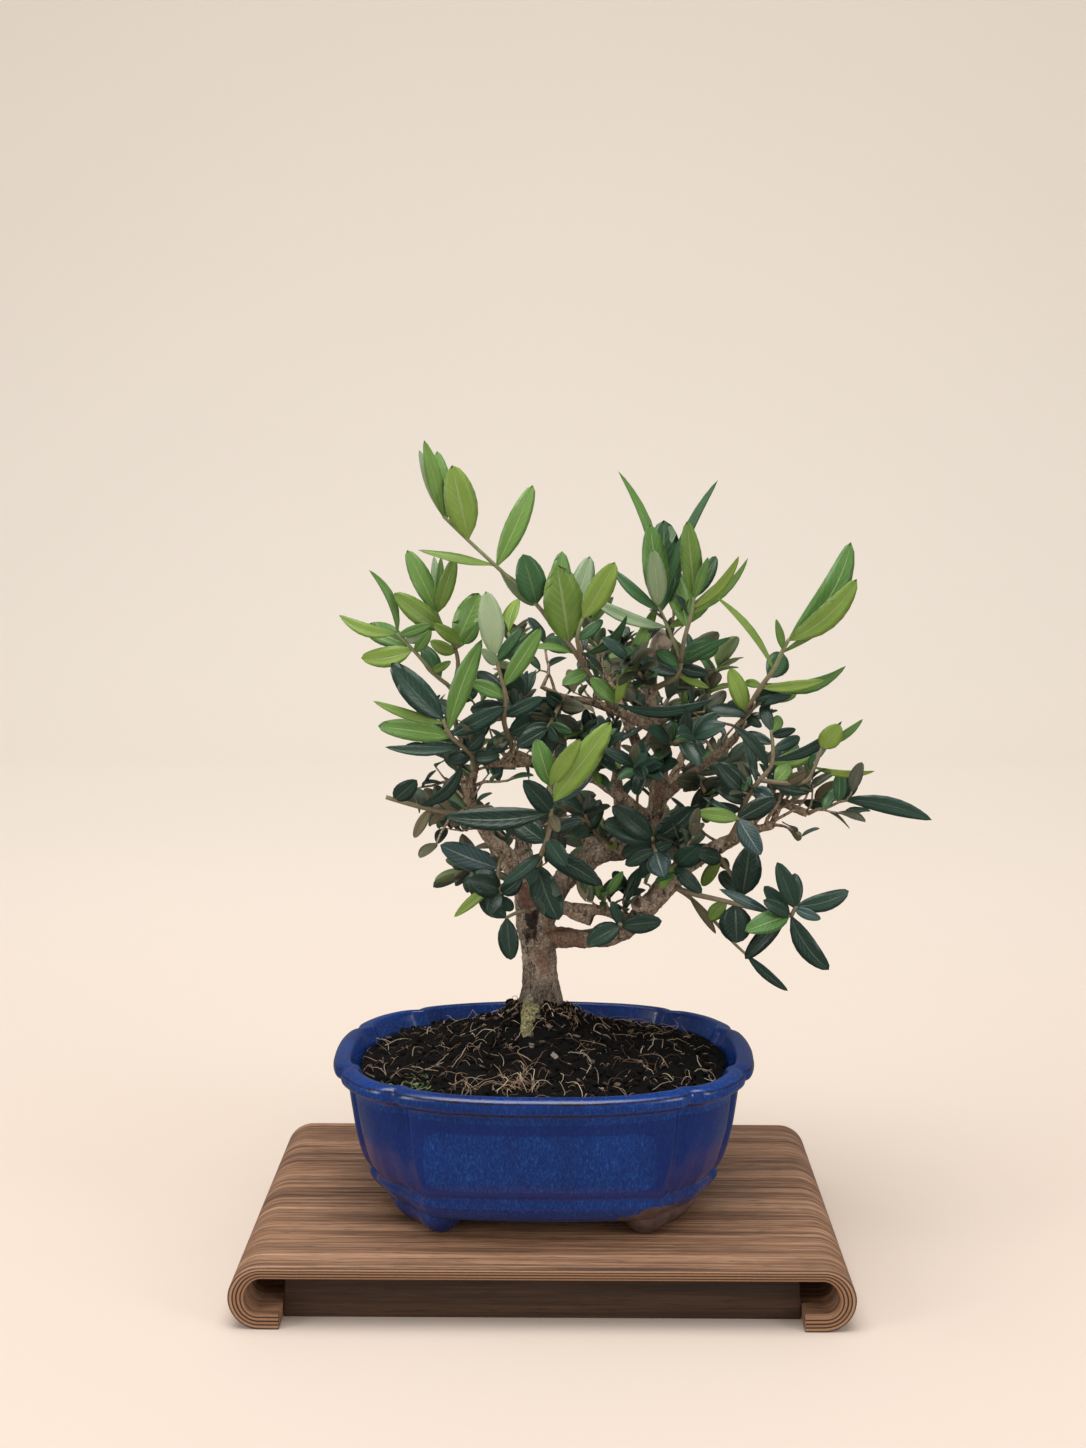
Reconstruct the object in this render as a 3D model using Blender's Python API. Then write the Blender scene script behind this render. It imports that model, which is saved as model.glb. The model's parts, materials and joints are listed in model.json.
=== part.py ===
"""Olive bonsai in a lobed glazed pot, on a low bent-wood stand.

Metres, +Z up, +Y away from the viewer. The origin is on the floor, under the middle of the
whole object's box. The tree is one grown trunk with its limbs; every leafy shoot is a body
of its own that butts on its limb. A shoot's place was judged by eye on the reference view:
seen(column, row, depth) turns a point of that view and a depth behind the middle of the
pot, in millimetres, into a place measured from the middle of the pot.
"""
import math
import random

import bmesh
import bpy
from mathutils import Matrix, Vector
from mathutils.bvhtree import BVHTree

MM = 0.001

# Where the middle of the pot and stand lies in the part's frame, whose origin is under the
# middle of the whole object's box
POT_MIDDLE_X = -0.0233
POT_MIDDLE_Y = -0.0106

# Driving dimensions of the stand, the pot and the soil
STAND_WIDTH = 0.290
STAND_DEPTH = 0.186
STAND_HEIGHT = 0.030
BOARD_THICKNESS = 0.0055
CURL_RADIUS = 0.015
CURL_THICKNESS = 0.0076
CURL_TIP_IN = 0.0235
APRON_SETBACK = 0.013
APRON_THICKNESS = 0.005
APRON_TAPER = 0.0012
POT_HALF_WIDTH = 0.105
POT_HALF_DEPTH = 0.0805
POT_HEIGHT = 0.0756
POT_CORNER_POWER = 2.5
LOBE_HALF_WIDTH = 0.067
LOBE_STEP = 0.015
SIDE_LOBE_HALF_DEPTH = 0.026
FRONT_LOBE_BOW = 0.0035
SIDE_LOBE_BOW = 0.001
POT_FLOOR = 0.0085
FOOT_HEIGHT = 0.0087
FOOT_X = 0.060
FOOT_Y = 0.046
DRAIN_RADIUS = 0.006
DRAIN_X = 0.042
DRAIN_MESH_RADIUS = 0.0105
DRAIN_MESH_THICKNESS = 0.0010
DRAIN_MESH_HOLE = 0.0014
DRAIN_MESH_SPREAD = 0.0042
SOIL_EDGE_DROP = 0.0075
SOIL_RISE = 0.023
SOIL_WALL_GAP_SHARE = 0.006
SOIL_FLOOR_GAP = 0.0018
GAP = 0.0003
BUTT_GAP = 0.00035

# The reference view, from which the tree's places are read
EYE = Vector((0.0097, -0.876, 0.3937))
EYE_PITCH = math.radians(8.05)
EYE_YAW = math.radians(-0.66)
VIEW_FOCAL = 1800.0
VIEW_MIDDLE_COLUMN = 543.0
VIEW_MIDDLE_ROW = 724.0

# Leaf and stem proportions
LEAF_KEEL = 0.0012
STALK_HALF_WIDTH = 0.0006
STALK_FOOT = 0.00035
CLEARANCE = 0.0005
OWN_START = 0.22
STEM_SIDES = 5
STEM_TIP = 0.0006
NARROW_LEAF = 0.0088
WELD = 2e-6
LIMB_SIDES = 8
RULED_STEM_RADII = (1.4, 0.8)
# Depths tried for the tip of a leaf, in mm, until it stands clear of the other shoots
DEPTH_SHIFTS = (0, 5, -5, 10, -10, 15, -15, 21, -21, 28, -28)
# Turns tried for a ruled leaf about its stem, in degrees, for the same reason
LEAF_SWINGS = (0, 22, -22, 45, -45, 68, -68, 90, -90, 120, -120)


def seen(column, row, depth):
    """Place of a point of the reference view that lies depth millimetres behind mid-pot."""
    ahead = Vector((math.sin(EYE_YAW) * math.cos(EYE_PITCH),
                    math.cos(EYE_YAW) * math.cos(EYE_PITCH), -math.sin(EYE_PITCH)))
    right = Vector((math.cos(EYE_YAW), -math.sin(EYE_YAW), 0.0))
    up = right.cross(ahead)
    ray = (ahead + right * (column - VIEW_MIDDLE_COLUMN) / VIEW_FOCAL
           + up * (VIEW_MIDDLE_ROW - row) / VIEW_FOCAL)
    reach = (depth * MM - EYE.y) / ray.y
    return EYE + ray * reach


def clear_scene():
    for old in list(bpy.data.objects):
        bpy.data.objects.remove(old, do_unlink=True)


def new_material(name, colour, roughness, metallic=0.0):
    material = bpy.data.materials.new(name)
    material.use_nodes = True
    shader = material.node_tree.nodes["Principled BSDF"]
    shader.inputs["Base Color"].default_value = (*colour, 1.0)
    shader.inputs["Roughness"].default_value = roughness
    shader.inputs["Metallic"].default_value = metallic
    return material


def new_object(name, shape, material, smooth_angle=None):
    """Object from a bmesh, with outward normals and its own material."""
    bmesh.ops.recalc_face_normals(shape, faces=shape.faces)
    mesh = bpy.data.meshes.new(name)
    shape.to_mesh(mesh)
    shape.free()
    if material is not None:
        mesh.materials.append(material)
    if smooth_angle is not None:
        mesh.shade_smooth()
        mesh.set_sharp_from_angle(angle=math.radians(smooth_angle))
    thing = bpy.data.objects.new(name, mesh)
    bpy.context.collection.objects.link(thing)
    return thing


def is_closed(shape):
    return all(len(edge.link_faces) == 2 for edge in shape.edges)


def cleaned(mesh):
    """The mesh as a bmesh, its slivers welded away where that leaves it closed."""
    shape = bmesh.new()
    shape.from_mesh(mesh)
    bmesh.ops.remove_doubles(shape, verts=shape.verts, dist=WELD)
    bmesh.ops.dissolve_degenerate(shape, edges=shape.edges, dist=WELD)
    if is_closed(shape):
        return shape
    shape.clear()
    shape.from_mesh(mesh)
    return shape


def combine(base, others, operation):
    """Boolean of base with a collection of others, applied; the others are removed."""
    pile = bpy.data.collections.new("pile")
    bpy.context.scene.collection.children.link(pile)
    for other in others:
        for home in list(other.users_collection):
            home.objects.unlink(other)
        pile.objects.link(other)
    cut = base.modifiers.new("combine", "BOOLEAN")
    cut.operation = operation
    cut.solver = "EXACT"
    cut.operand_type = "COLLECTION"
    cut.collection = pile
    view = bpy.context.evaluated_depsgraph_get()
    mesh = bpy.data.meshes.new_from_object(base.evaluated_get(view))
    result = cleaned(mesh)
    if not is_closed(result):
        cut.solver = "MANIFOLD"
        view.update()
        bpy.data.meshes.remove(mesh)
        mesh = bpy.data.meshes.new_from_object(base.evaluated_get(view))
    result.free()
    base.modifiers.remove(cut)
    old = base.data
    mesh.name = old.name
    base.data = mesh
    bpy.data.meshes.remove(old)
    for other in list(pile.objects):
        bpy.data.objects.remove(other, do_unlink=True)
    bpy.data.collections.remove(pile)
    return base


def drop_scraps(thing):
    """Keep the largest closed body of a mesh and drop the loose scraps beside it."""
    shape = cleaned(thing.data)
    left = set(shape.verts)
    bodies = []
    while left:
        queue = [left.pop()]
        body = set(queue)
        while queue:
            vertex = queue.pop()
            for edge in vertex.link_edges:
                other = edge.other_vert(vertex)
                if other in left:
                    left.discard(other)
                    body.add(other)
                    queue.append(other)
        bodies.append(body)
    bodies.sort(key=len, reverse=True)
    for scrap in bodies[1:]:
        bmesh.ops.delete(shape, geom=list(scrap), context="VERTS")
    shape.to_mesh(thing.data)
    shape.free()
    return thing


def ring_faces(shape, low, high):
    """Quads between two rings of vertices of the same count."""
    count = len(low)
    for i in range(count):
        j = (i + 1) % count
        shape.faces.new((low[i], low[j], high[j], high[i]))


def tube(points, radii, sides, grow=0.0, twist=0.0):
    """Closed tube of a given radius at each point, with flat ends."""
    shape = bmesh.new()
    rings = []
    normal = None
    for i, point in enumerate(points):
        before = points[max(i - 1, 0)]
        after = points[min(i + 1, len(points) - 1)]
        along = (after - before).normalized()
        if normal is None:
            normal = along.orthogonal().normalized()
        normal = (normal - along * normal.dot(along)).normalized()
        side = along.cross(normal)
        place = point
        if grow and i == 0:
            place = point - along * grow
        if grow and i == len(points) - 1:
            place = point + along * grow
        radius = radii[i] + grow / math.cos(math.pi / sides)
        ring = []
        for k in range(sides):
            angle = twist + 2 * math.pi * k / sides
            spoke = normal * math.cos(angle) + side * math.sin(angle)
            ring.append(shape.verts.new(place + spoke * radius))
        rings.append(ring)
    for low, high in zip(rings, rings[1:]):
        ring_faces(shape, low, high)
    shape.faces.new(list(reversed(rings[0])))
    shape.faces.new(rings[-1])
    return shape


# The stand: a bent-wood board whose ends curl under to make its feet, with two aprons

def stand_outline():
    """Section of the board in X and Z, as one closed line: a flat top with two C curls."""
    half = STAND_WIDTH / 2
    middle_x = half - CURL_RADIUS
    middle_z = STAND_HEIGHT - CURL_RADIUS
    inner = CURL_RADIUS - CURL_THICKNESS
    tip_x = half - CURL_TIP_IN
    nose = CURL_THICKNESS / 2
    line = []
    steps = 8
    for i in range(steps + 1):
        angle = math.pi / 2 - math.pi * i / steps
        line.append((middle_x + CURL_RADIUS * math.cos(angle),
                     middle_z + CURL_RADIUS * math.sin(angle)))
    for i in range(5):
        angle = -math.pi / 2 - math.pi * i / 4
        line.append((tip_x + nose + nose * math.cos(angle), nose + nose * math.sin(angle)))
    top = STAND_HEIGHT - BOARD_THICKNESS
    for i in range(steps + 1):
        angle = -math.pi / 2 + math.pi * i / steps
        reach = inner + (top - middle_z - inner) * i / steps
        line.append((middle_x + inner * math.cos(angle), middle_z + reach * math.sin(angle)))
    return line


def make_stand(walnut, dark_walnut):
    right = stand_outline()
    left = [(-x, z) for x, z in reversed(right)]
    outline = right + left
    shape = bmesh.new()
    front = [shape.verts.new((x, -STAND_DEPTH / 2, z)) for x, z in outline]
    face = shape.faces.new(front)
    pulled = bmesh.ops.extrude_face_region(shape, geom=[face])
    moved = [part for part in pulled["geom"] if isinstance(part, bmesh.types.BMVert)]
    bmesh.ops.translate(shape, verts=moved, vec=(0.0, STAND_DEPTH, 0.0))
    new_object("stand_board", shape, walnut, 35)
    reach = STAND_WIDTH / 2 - CURL_TIP_IN - GAP
    top_reach = reach - APRON_TAPER
    top = STAND_HEIGHT - BOARD_THICKNESS - GAP
    for name, side in (("stand_apron_front", -1), ("stand_apron_back", 1)):
        outer = side * (STAND_DEPTH / 2 - APRON_SETBACK)
        inner = outer - side * APRON_THICKNESS
        shape = bmesh.new()
        rings = []
        for y in (outer, inner):
            corners = ((-reach, 0.0), (reach, 0.0), (top_reach, top), (-top_reach, top))
            rings.append([shape.verts.new((x, y, z)) for x, z in corners])
        ring_faces(shape, rings[0], rings[1])
        shape.faces.new(rings[0])
        shape.faces.new(list(reversed(rings[1])))
        new_object(name, shape, dark_walnut)


# The pot: a lobed rectangle in plan, drawn in towards its feet

def smooth_step(value):
    value = min(max(value, 0.0), 1.0)
    return value * value * (3 - 2 * value)


def pot_point(angle):
    """Point of the rim's outer edge in plan, with its proud front, back and side lobes."""
    cosine = math.cos(angle)
    sine = math.sin(angle)
    power = 2 / POT_CORNER_POWER
    x = POT_HALF_WIDTH * math.copysign(abs(cosine) ** power, cosine)
    y = POT_HALF_DEPTH * math.copysign(abs(sine) ** power, sine)
    share = 1 - smooth_step((abs(x) - LOBE_HALF_WIDTH) / LOBE_STEP)
    panel = POT_HALF_DEPTH - FRONT_LOBE_BOW * (x / LOBE_HALF_WIDTH) ** 2
    y += (math.copysign(panel, y) - y) * share * (abs(sine) > 0.3)
    share = 1 - smooth_step((abs(y) - SIDE_LOBE_HALF_DEPTH) / LOBE_STEP)
    panel = POT_HALF_WIDTH - SIDE_LOBE_BOW * (y / SIDE_LOBE_HALF_DEPTH) ** 2
    x += (math.copysign(panel, x) - x) * share * (abs(cosine) > 0.3)
    return x, y


def pot_angles(count):
    """Angles that give points spread evenly along the rim."""
    fine = [2 * math.pi * i / 2000 for i in range(2001)]
    places = [pot_point(angle) for angle in fine]
    travelled = [0.0]
    for before, after in zip(places, places[1:]):
        travelled.append(travelled[-1] + math.dist(before, after))
    angles = []
    k = 0
    for i in range(count):
        wanted = travelled[-1] * i / count
        while travelled[k] < wanted:
            k += 1
        angles.append(fine[k])
    return angles


# Height above the stand and share of the rim's outline, from the rim down the outside
POT_OUTSIDE = (
    (0.0756, 0.945), (0.0748, 0.985), (0.0722, 1.000), (0.0680, 0.986), (0.0656, 0.942),
    (0.0500, 0.918), (0.0335, 0.880), (0.0235, 0.845), (0.0212, 0.822), (0.0198, 0.832),
    (0.0140, 0.800), (FOOT_HEIGHT, 0.758))
# The same down the inside: rim, inner lip, wall and floor
POT_INSIDE = ((0.0752, 0.915), (0.0715, 0.902), (0.0640, 0.868), (0.0400, 0.830),
              (0.0240, 0.765), (FOOT_HEIGHT + POT_FLOOR, 0.690))


def pot_ring(shape, angles, height, share):
    ring = []
    for angle in angles:
        x, y = pot_point(angle)
        ring.append(shape.verts.new((x * share, y * share, STAND_HEIGHT + height)))
    return ring


def make_foot(centre_x, centre_y):
    """One corner foot: a low bracket that widens upwards into the pot's floor."""
    shape = bmesh.new()
    rings = []
    sides = 10
    root = FOOT_HEIGHT + 0.003
    levels = ((GAP, 0.0095, 0.0075), (0.0030, 0.0130, 0.0100), (root, 0.0170, 0.0125))
    for height, half_x, half_y in levels:
        ring = []
        for i in range(sides):
            angle = 2 * math.pi * i / sides
            ring.append(shape.verts.new((centre_x + half_x * math.cos(angle),
                                         centre_y + half_y * math.sin(angle),
                                         STAND_HEIGHT + height)))
        rings.append(ring)
    for low, high in zip(rings, rings[1:]):
        ring_faces(shape, low, high)
    shape.faces.new(list(reversed(rings[0])))
    shape.faces.new(rings[-1])
    return new_object("foot", shape, None)


def make_pot(glaze):
    angles = pot_angles(40)
    shape = bmesh.new()
    outside = [pot_ring(shape, angles, height, share) for height, share in POT_OUTSIDE]
    inside = [pot_ring(shape, angles, height, share) for height, share in POT_INSIDE]
    for low, high in zip(outside, outside[1:]):
        ring_faces(shape, low, high)
    for low, high in zip(inside, inside[1:]):
        ring_faces(shape, low, high)
    ring_faces(shape, outside[0], inside[0])
    shape.faces.new(outside[-1])
    shape.faces.new(inside[-1])
    pot = new_object("pot", shape, glaze, 40)
    feet = [make_foot(side_x * FOOT_X, side_y * FOOT_Y)
            for side_x in (-1, 1) for side_y in (-1, 1)]
    combine(pot, feet, "UNION")
    drills = []
    for side in (-1, 1):
        drill = bmesh.new()
        bmesh.ops.create_cone(drill, cap_ends=True, segments=12, radius1=DRAIN_RADIUS,
                              radius2=DRAIN_RADIUS, depth=4 * POT_FLOOR)
        bmesh.ops.translate(drill, verts=drill.verts,
                            vec=(side * DRAIN_X, 0.0, STAND_HEIGHT + FOOT_HEIGHT))
        drills.append(new_object("drill", drill, None))
    combine(pot, drills, "DIFFERENCE")
    pot.data.shade_smooth()
    pot.data.set_sharp_from_angle(angle=math.radians(40))
    return pot


def make_drain_meshes(plastic):
    """Small perforated discs that keep the soil off the two drain holes."""
    floor = STAND_HEIGHT + FOOT_HEIGHT + POT_FLOOR
    for name, side in (("drain_mesh_left", -1), ("drain_mesh_right", 1)):
        shape = bmesh.new()
        bmesh.ops.create_cone(shape, cap_ends=True, segments=12, radius1=DRAIN_MESH_RADIUS,
                              radius2=DRAIN_MESH_RADIUS, depth=DRAIN_MESH_THICKNESS)
        bmesh.ops.translate(shape, verts=shape.verts, vec=(
            side * DRAIN_X, 0.0, floor + GAP + DRAIN_MESH_THICKNESS / 2))
        disc = new_object(name, shape, plastic)
        drills = []
        for i in range(5):
            drill = bmesh.new()
            bmesh.ops.create_cone(drill, cap_ends=True, segments=4, radius1=DRAIN_MESH_HOLE,
                                  radius2=DRAIN_MESH_HOLE, depth=0.01)
            spread = 0.0 if i == 4 else DRAIN_MESH_SPREAD
            bmesh.ops.translate(drill, verts=drill.verts, vec=(
                side * DRAIN_X + spread * math.cos(math.pi * i / 2),
                spread * math.sin(math.pi * i / 2), floor))
            drills.append(new_object("drill", drill, None))
        combine(disc, drills, "DIFFERENCE")


# The soil: fills the pot and mounds up round the foot of the trunk

def soil_top(x, y):
    """Height of the soil at a place given from the pot's middle."""
    away = ((abs(x) / POT_HALF_WIDTH) ** 2.2 + (abs(y) / POT_HALF_DEPTH) ** 2.2) ** (1 / 2.2)
    dome = max(0.0, 1 - (away / 0.9) ** 1.7)
    crest = math.exp(-((x + 0.004) ** 2 + (y - 0.012) ** 2) / 0.0011)
    lumps = (math.sin(x * 230 + 1.3) * math.cos(y * 260 - 0.7)
             + 0.6 * math.sin(x * 430 - y * 310 + 2.1)) * 0.0007
    edge = STAND_HEIGHT + POT_HEIGHT - SOIL_EDGE_DROP
    return edge + SOIL_RISE * (0.56 * dome + 0.44 * crest) + lumps * min(1.0, dome * 4)


def make_soil(peat, cutters):
    angles = pot_angles(32)
    shape = bmesh.new()
    rings = []
    for height, share in reversed(POT_INSIDE[2:]):
        lift = SOIL_FLOOR_GAP if height == FOOT_HEIGHT + POT_FLOOR else 0.0
        rings.append(pot_ring(shape, angles, height + lift, share - SOIL_WALL_GAP_SHARE))
    top_shares = (0.874, 0.68, 0.46, 0.24)
    for share in top_shares:
        ring = []
        for angle in angles:
            x, y = pot_point(angle)
            ring.append(shape.verts.new((x * share, y * share,
                                         soil_top(x * share, y * share))))
        rings.append(ring)
    for low, high in zip(rings, rings[1:]):
        ring_faces(shape, low, high)
    shape.faces.new(list(reversed(rings[0])))
    centre = shape.verts.new((0.0, 0.0, soil_top(0.0, 0.0)))
    last = rings[-1]
    for i, vertex in enumerate(last):
        shape.faces.new((vertex, last[(i + 1) % len(last)], centre))
    bmesh.ops.triangulate(shape, faces=[f for f in shape.faces if len(f.verts) == 4])
    soil = new_object("soil", shape, peat, 50)
    combine(soil, cutters, "DIFFERENCE")
    drop_scraps(soil)
    return soil


# The trunk and its limbs: column, row and depth on the reference view, and radius in mm
LIMBS = {
    "trunk": ((541, 1050, 15, 12.0), (541, 1010, 15, 12.2), (541, 991, 15, 10.4),
              (540, 975, 15, 9.3), (538, 950, 15, 9.0), (536, 930, 14, 9.6),
              (535, 914, 13, 9.2), (534, 903, 13, 7.4)),
    "left_leader": ((534, 922, 13, 7.6), (528, 900, 12, 6.6), (524, 872, 12, 5.8),
                    (523, 842, 14, 4.6), (521, 815, 16, 3.4)),
    "left_arm": ((524, 872, 12, 4.6), (505, 852, 8, 3.8), (487, 836, 4, 3.2),
                 (474, 812, 2, 2.6), (470, 790, 2, 2.2), (476, 770, 2, 1.8)),
    "thick_arm": ((540, 918, 13, 7.6), (560, 885, 16, 6.2), (588, 857, 18, 5.4),
                  (622, 850, 18, 5.2), (645, 841, 16, 5.4), (656, 815, 14, 5.0),
                  (659, 780, 12, 4.6), (661, 748, 10, 4.2), (656, 722, 8, 4.0),
                  (651, 690, 6, 3.3), (652, 662, 4, 3.6), (660, 646, 2, 5.2),
                  (667, 634, 1, 5.0)),
    "lower_arm": ((541, 938, 13, 6.6), (570, 938, 9, 5.0), (606, 937, 4, 4.9),
                  (630, 926, 0, 5.0), (648, 906, -2, 5.4), (668, 884, -4, 5.6),
                  (690, 862, -6, 4.6), (714, 849, -8, 4.0), (738, 836, -8, 3.0),
                  (748, 827, -8, 2.4)),
    "sawn_stub": ((648, 907, -2, 4.4), (636, 903, -11, 4.3)),
    "thin_arm": ((548, 907, 8, 4.4), (575, 909, 2, 3.1), (604, 911, -2, 2.5),
                 (628, 922, -2, 2.6)),
    "short_stub": ((566, 909, 2, 3.6), (582, 917, -2, 3.2), (592, 921, -4, 3.0)),
    "right_arm": ((655, 806, 14, 3.4), (672, 790, 10, 2.7), (694, 772, 6, 2.4),
                  (714, 757, 4, 2.2), (734, 740, 2, 2.0), (741, 724, 0, 1.8)),
    "top_bridge": ((657, 730, 9, 3.0), (640, 722, 6, 2.8), (616, 711, 4, 2.4),
                   (590, 702, 4, 2.0), (563, 697, 3, 1.8), (540, 686, 2, 1.4)),
    "mid_bridge": ((654, 824, 14, 3.6), (622, 797, 8, 3.1), (594, 778, 5, 3.0),
                   (562, 769, 4, 3.0), (536, 763, 2, 3.1), (514, 756, 0, 3.6)),
    "mid_bridge_end": ((530, 762, 2, 2.6), (505, 765, -2, 1.9), (486, 764, -5, 1.6)),
    "upright": ((622, 850, 18, 3.6), (620, 812, 21, 3.0), (617, 772, 21, 2.6),
                (617, 742, 17, 2.0)),
    "right_stub": ((742, 832, -8, 2.8), (759, 829, -10, 2.2), (774, 824, -11, 2.4)),
    "outer_stub": ((738, 836, -8, 2.4), (760, 815, -6, 2.2), (781, 803, -6, 2.4),
                   (794, 808, -8, 2.4), (808, 814, -9, 2.2)),
    "back_left": ((536, 910, 16, 6.0), (520, 882, 34, 5.0), (500, 850, 50, 4.0),
                  (478, 815, 60, 3.0), (462, 778, 66, 2.0)),
    "back_right": ((570, 872, 18, 5.0), (610, 848, 40, 4.2), (645, 818, 56, 3.4),
                   (672, 778, 66, 2.6), (690, 738, 70, 1.8)),
    "back_up": ((658, 792, 14, 4.2), (640, 752, 34, 3.2), (620, 705, 48, 2.4),
                (602, 668, 54, 1.6)),
    "back_middle": ((596, 856, 20, 4.4), (575, 805, 40, 3.2), (550, 752, 50, 2.4),
                    (532, 708, 56, 1.6)),
}
ROOT_ANGLES = (10, 75, 150, 205, 258, 318)


def limb_tubes(grow=0.0):
    tubes = []
    for name, stops in LIMBS.items():
        points = [seen(column, row, depth) for column, row, depth, radius in stops]
        radii = [radius * MM for column, row, depth, radius in stops]
        sides = LIMB_SIDES if max(radii) > 0.0065 else 6 if max(radii) > 0.0035 else 5
        tubes.append((name, tube(points, radii, sides, grow, twist=len(name))))
    return tubes


def root_tubes(grow=0.0):
    """Surface roots that leave the foot of the trunk and dive under the soil."""
    foot = seen(541, 1000, 15)
    tubes = []
    for i, degrees in enumerate(ROOT_ANGLES):
        angle = math.radians(degrees)
        points = []
        for reach, lift in ((2, 4.5), (11, 2.2), (20, 0.2), (29, -2.6), (37, -7.0)):
            bend = angle + 0.012 * reach * math.sin(i * 2.1)
            x = foot.x + reach * MM * math.cos(bend)
            y = foot.y + reach * MM * math.sin(bend)
            points.append(Vector((x, y, soil_top(x, y) + lift * MM)))
        radii = [size * MM for size in (5.0, 4.0, 3.0, 2.3, 1.3)]
        tubes.append(tube(points, radii, 5, grow, twist=0.3))
    return tubes


def make_trunk(bark):
    tubes = [shape for name, shape in limb_tubes()] + root_tubes()
    things = [new_object("limb", shape, None) for shape in tubes]
    trunk = things[0]
    trunk.name = "trunk_and_limbs"
    trunk.data.materials.append(bark)
    combine(trunk, things[1:], "UNION")
    drop_scraps(trunk)
    trunk.data.shade_smooth()
    trunk.data.set_sharp_from_angle(angle=math.radians(50))
    return trunk


# The shoots seen on the reference view. A stem is column, row and depth, with the radius at
# its two ends in mm. A leaf is its tone, the column and row of its foot and of its tip, its
# width in mm, and where needed its lean (mm that the tip comes forward), bow and roll.
YOUNG, OLIVE, PALE, OLD, DRY = "young", "olive", "pale", "old", "dry"

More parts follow.
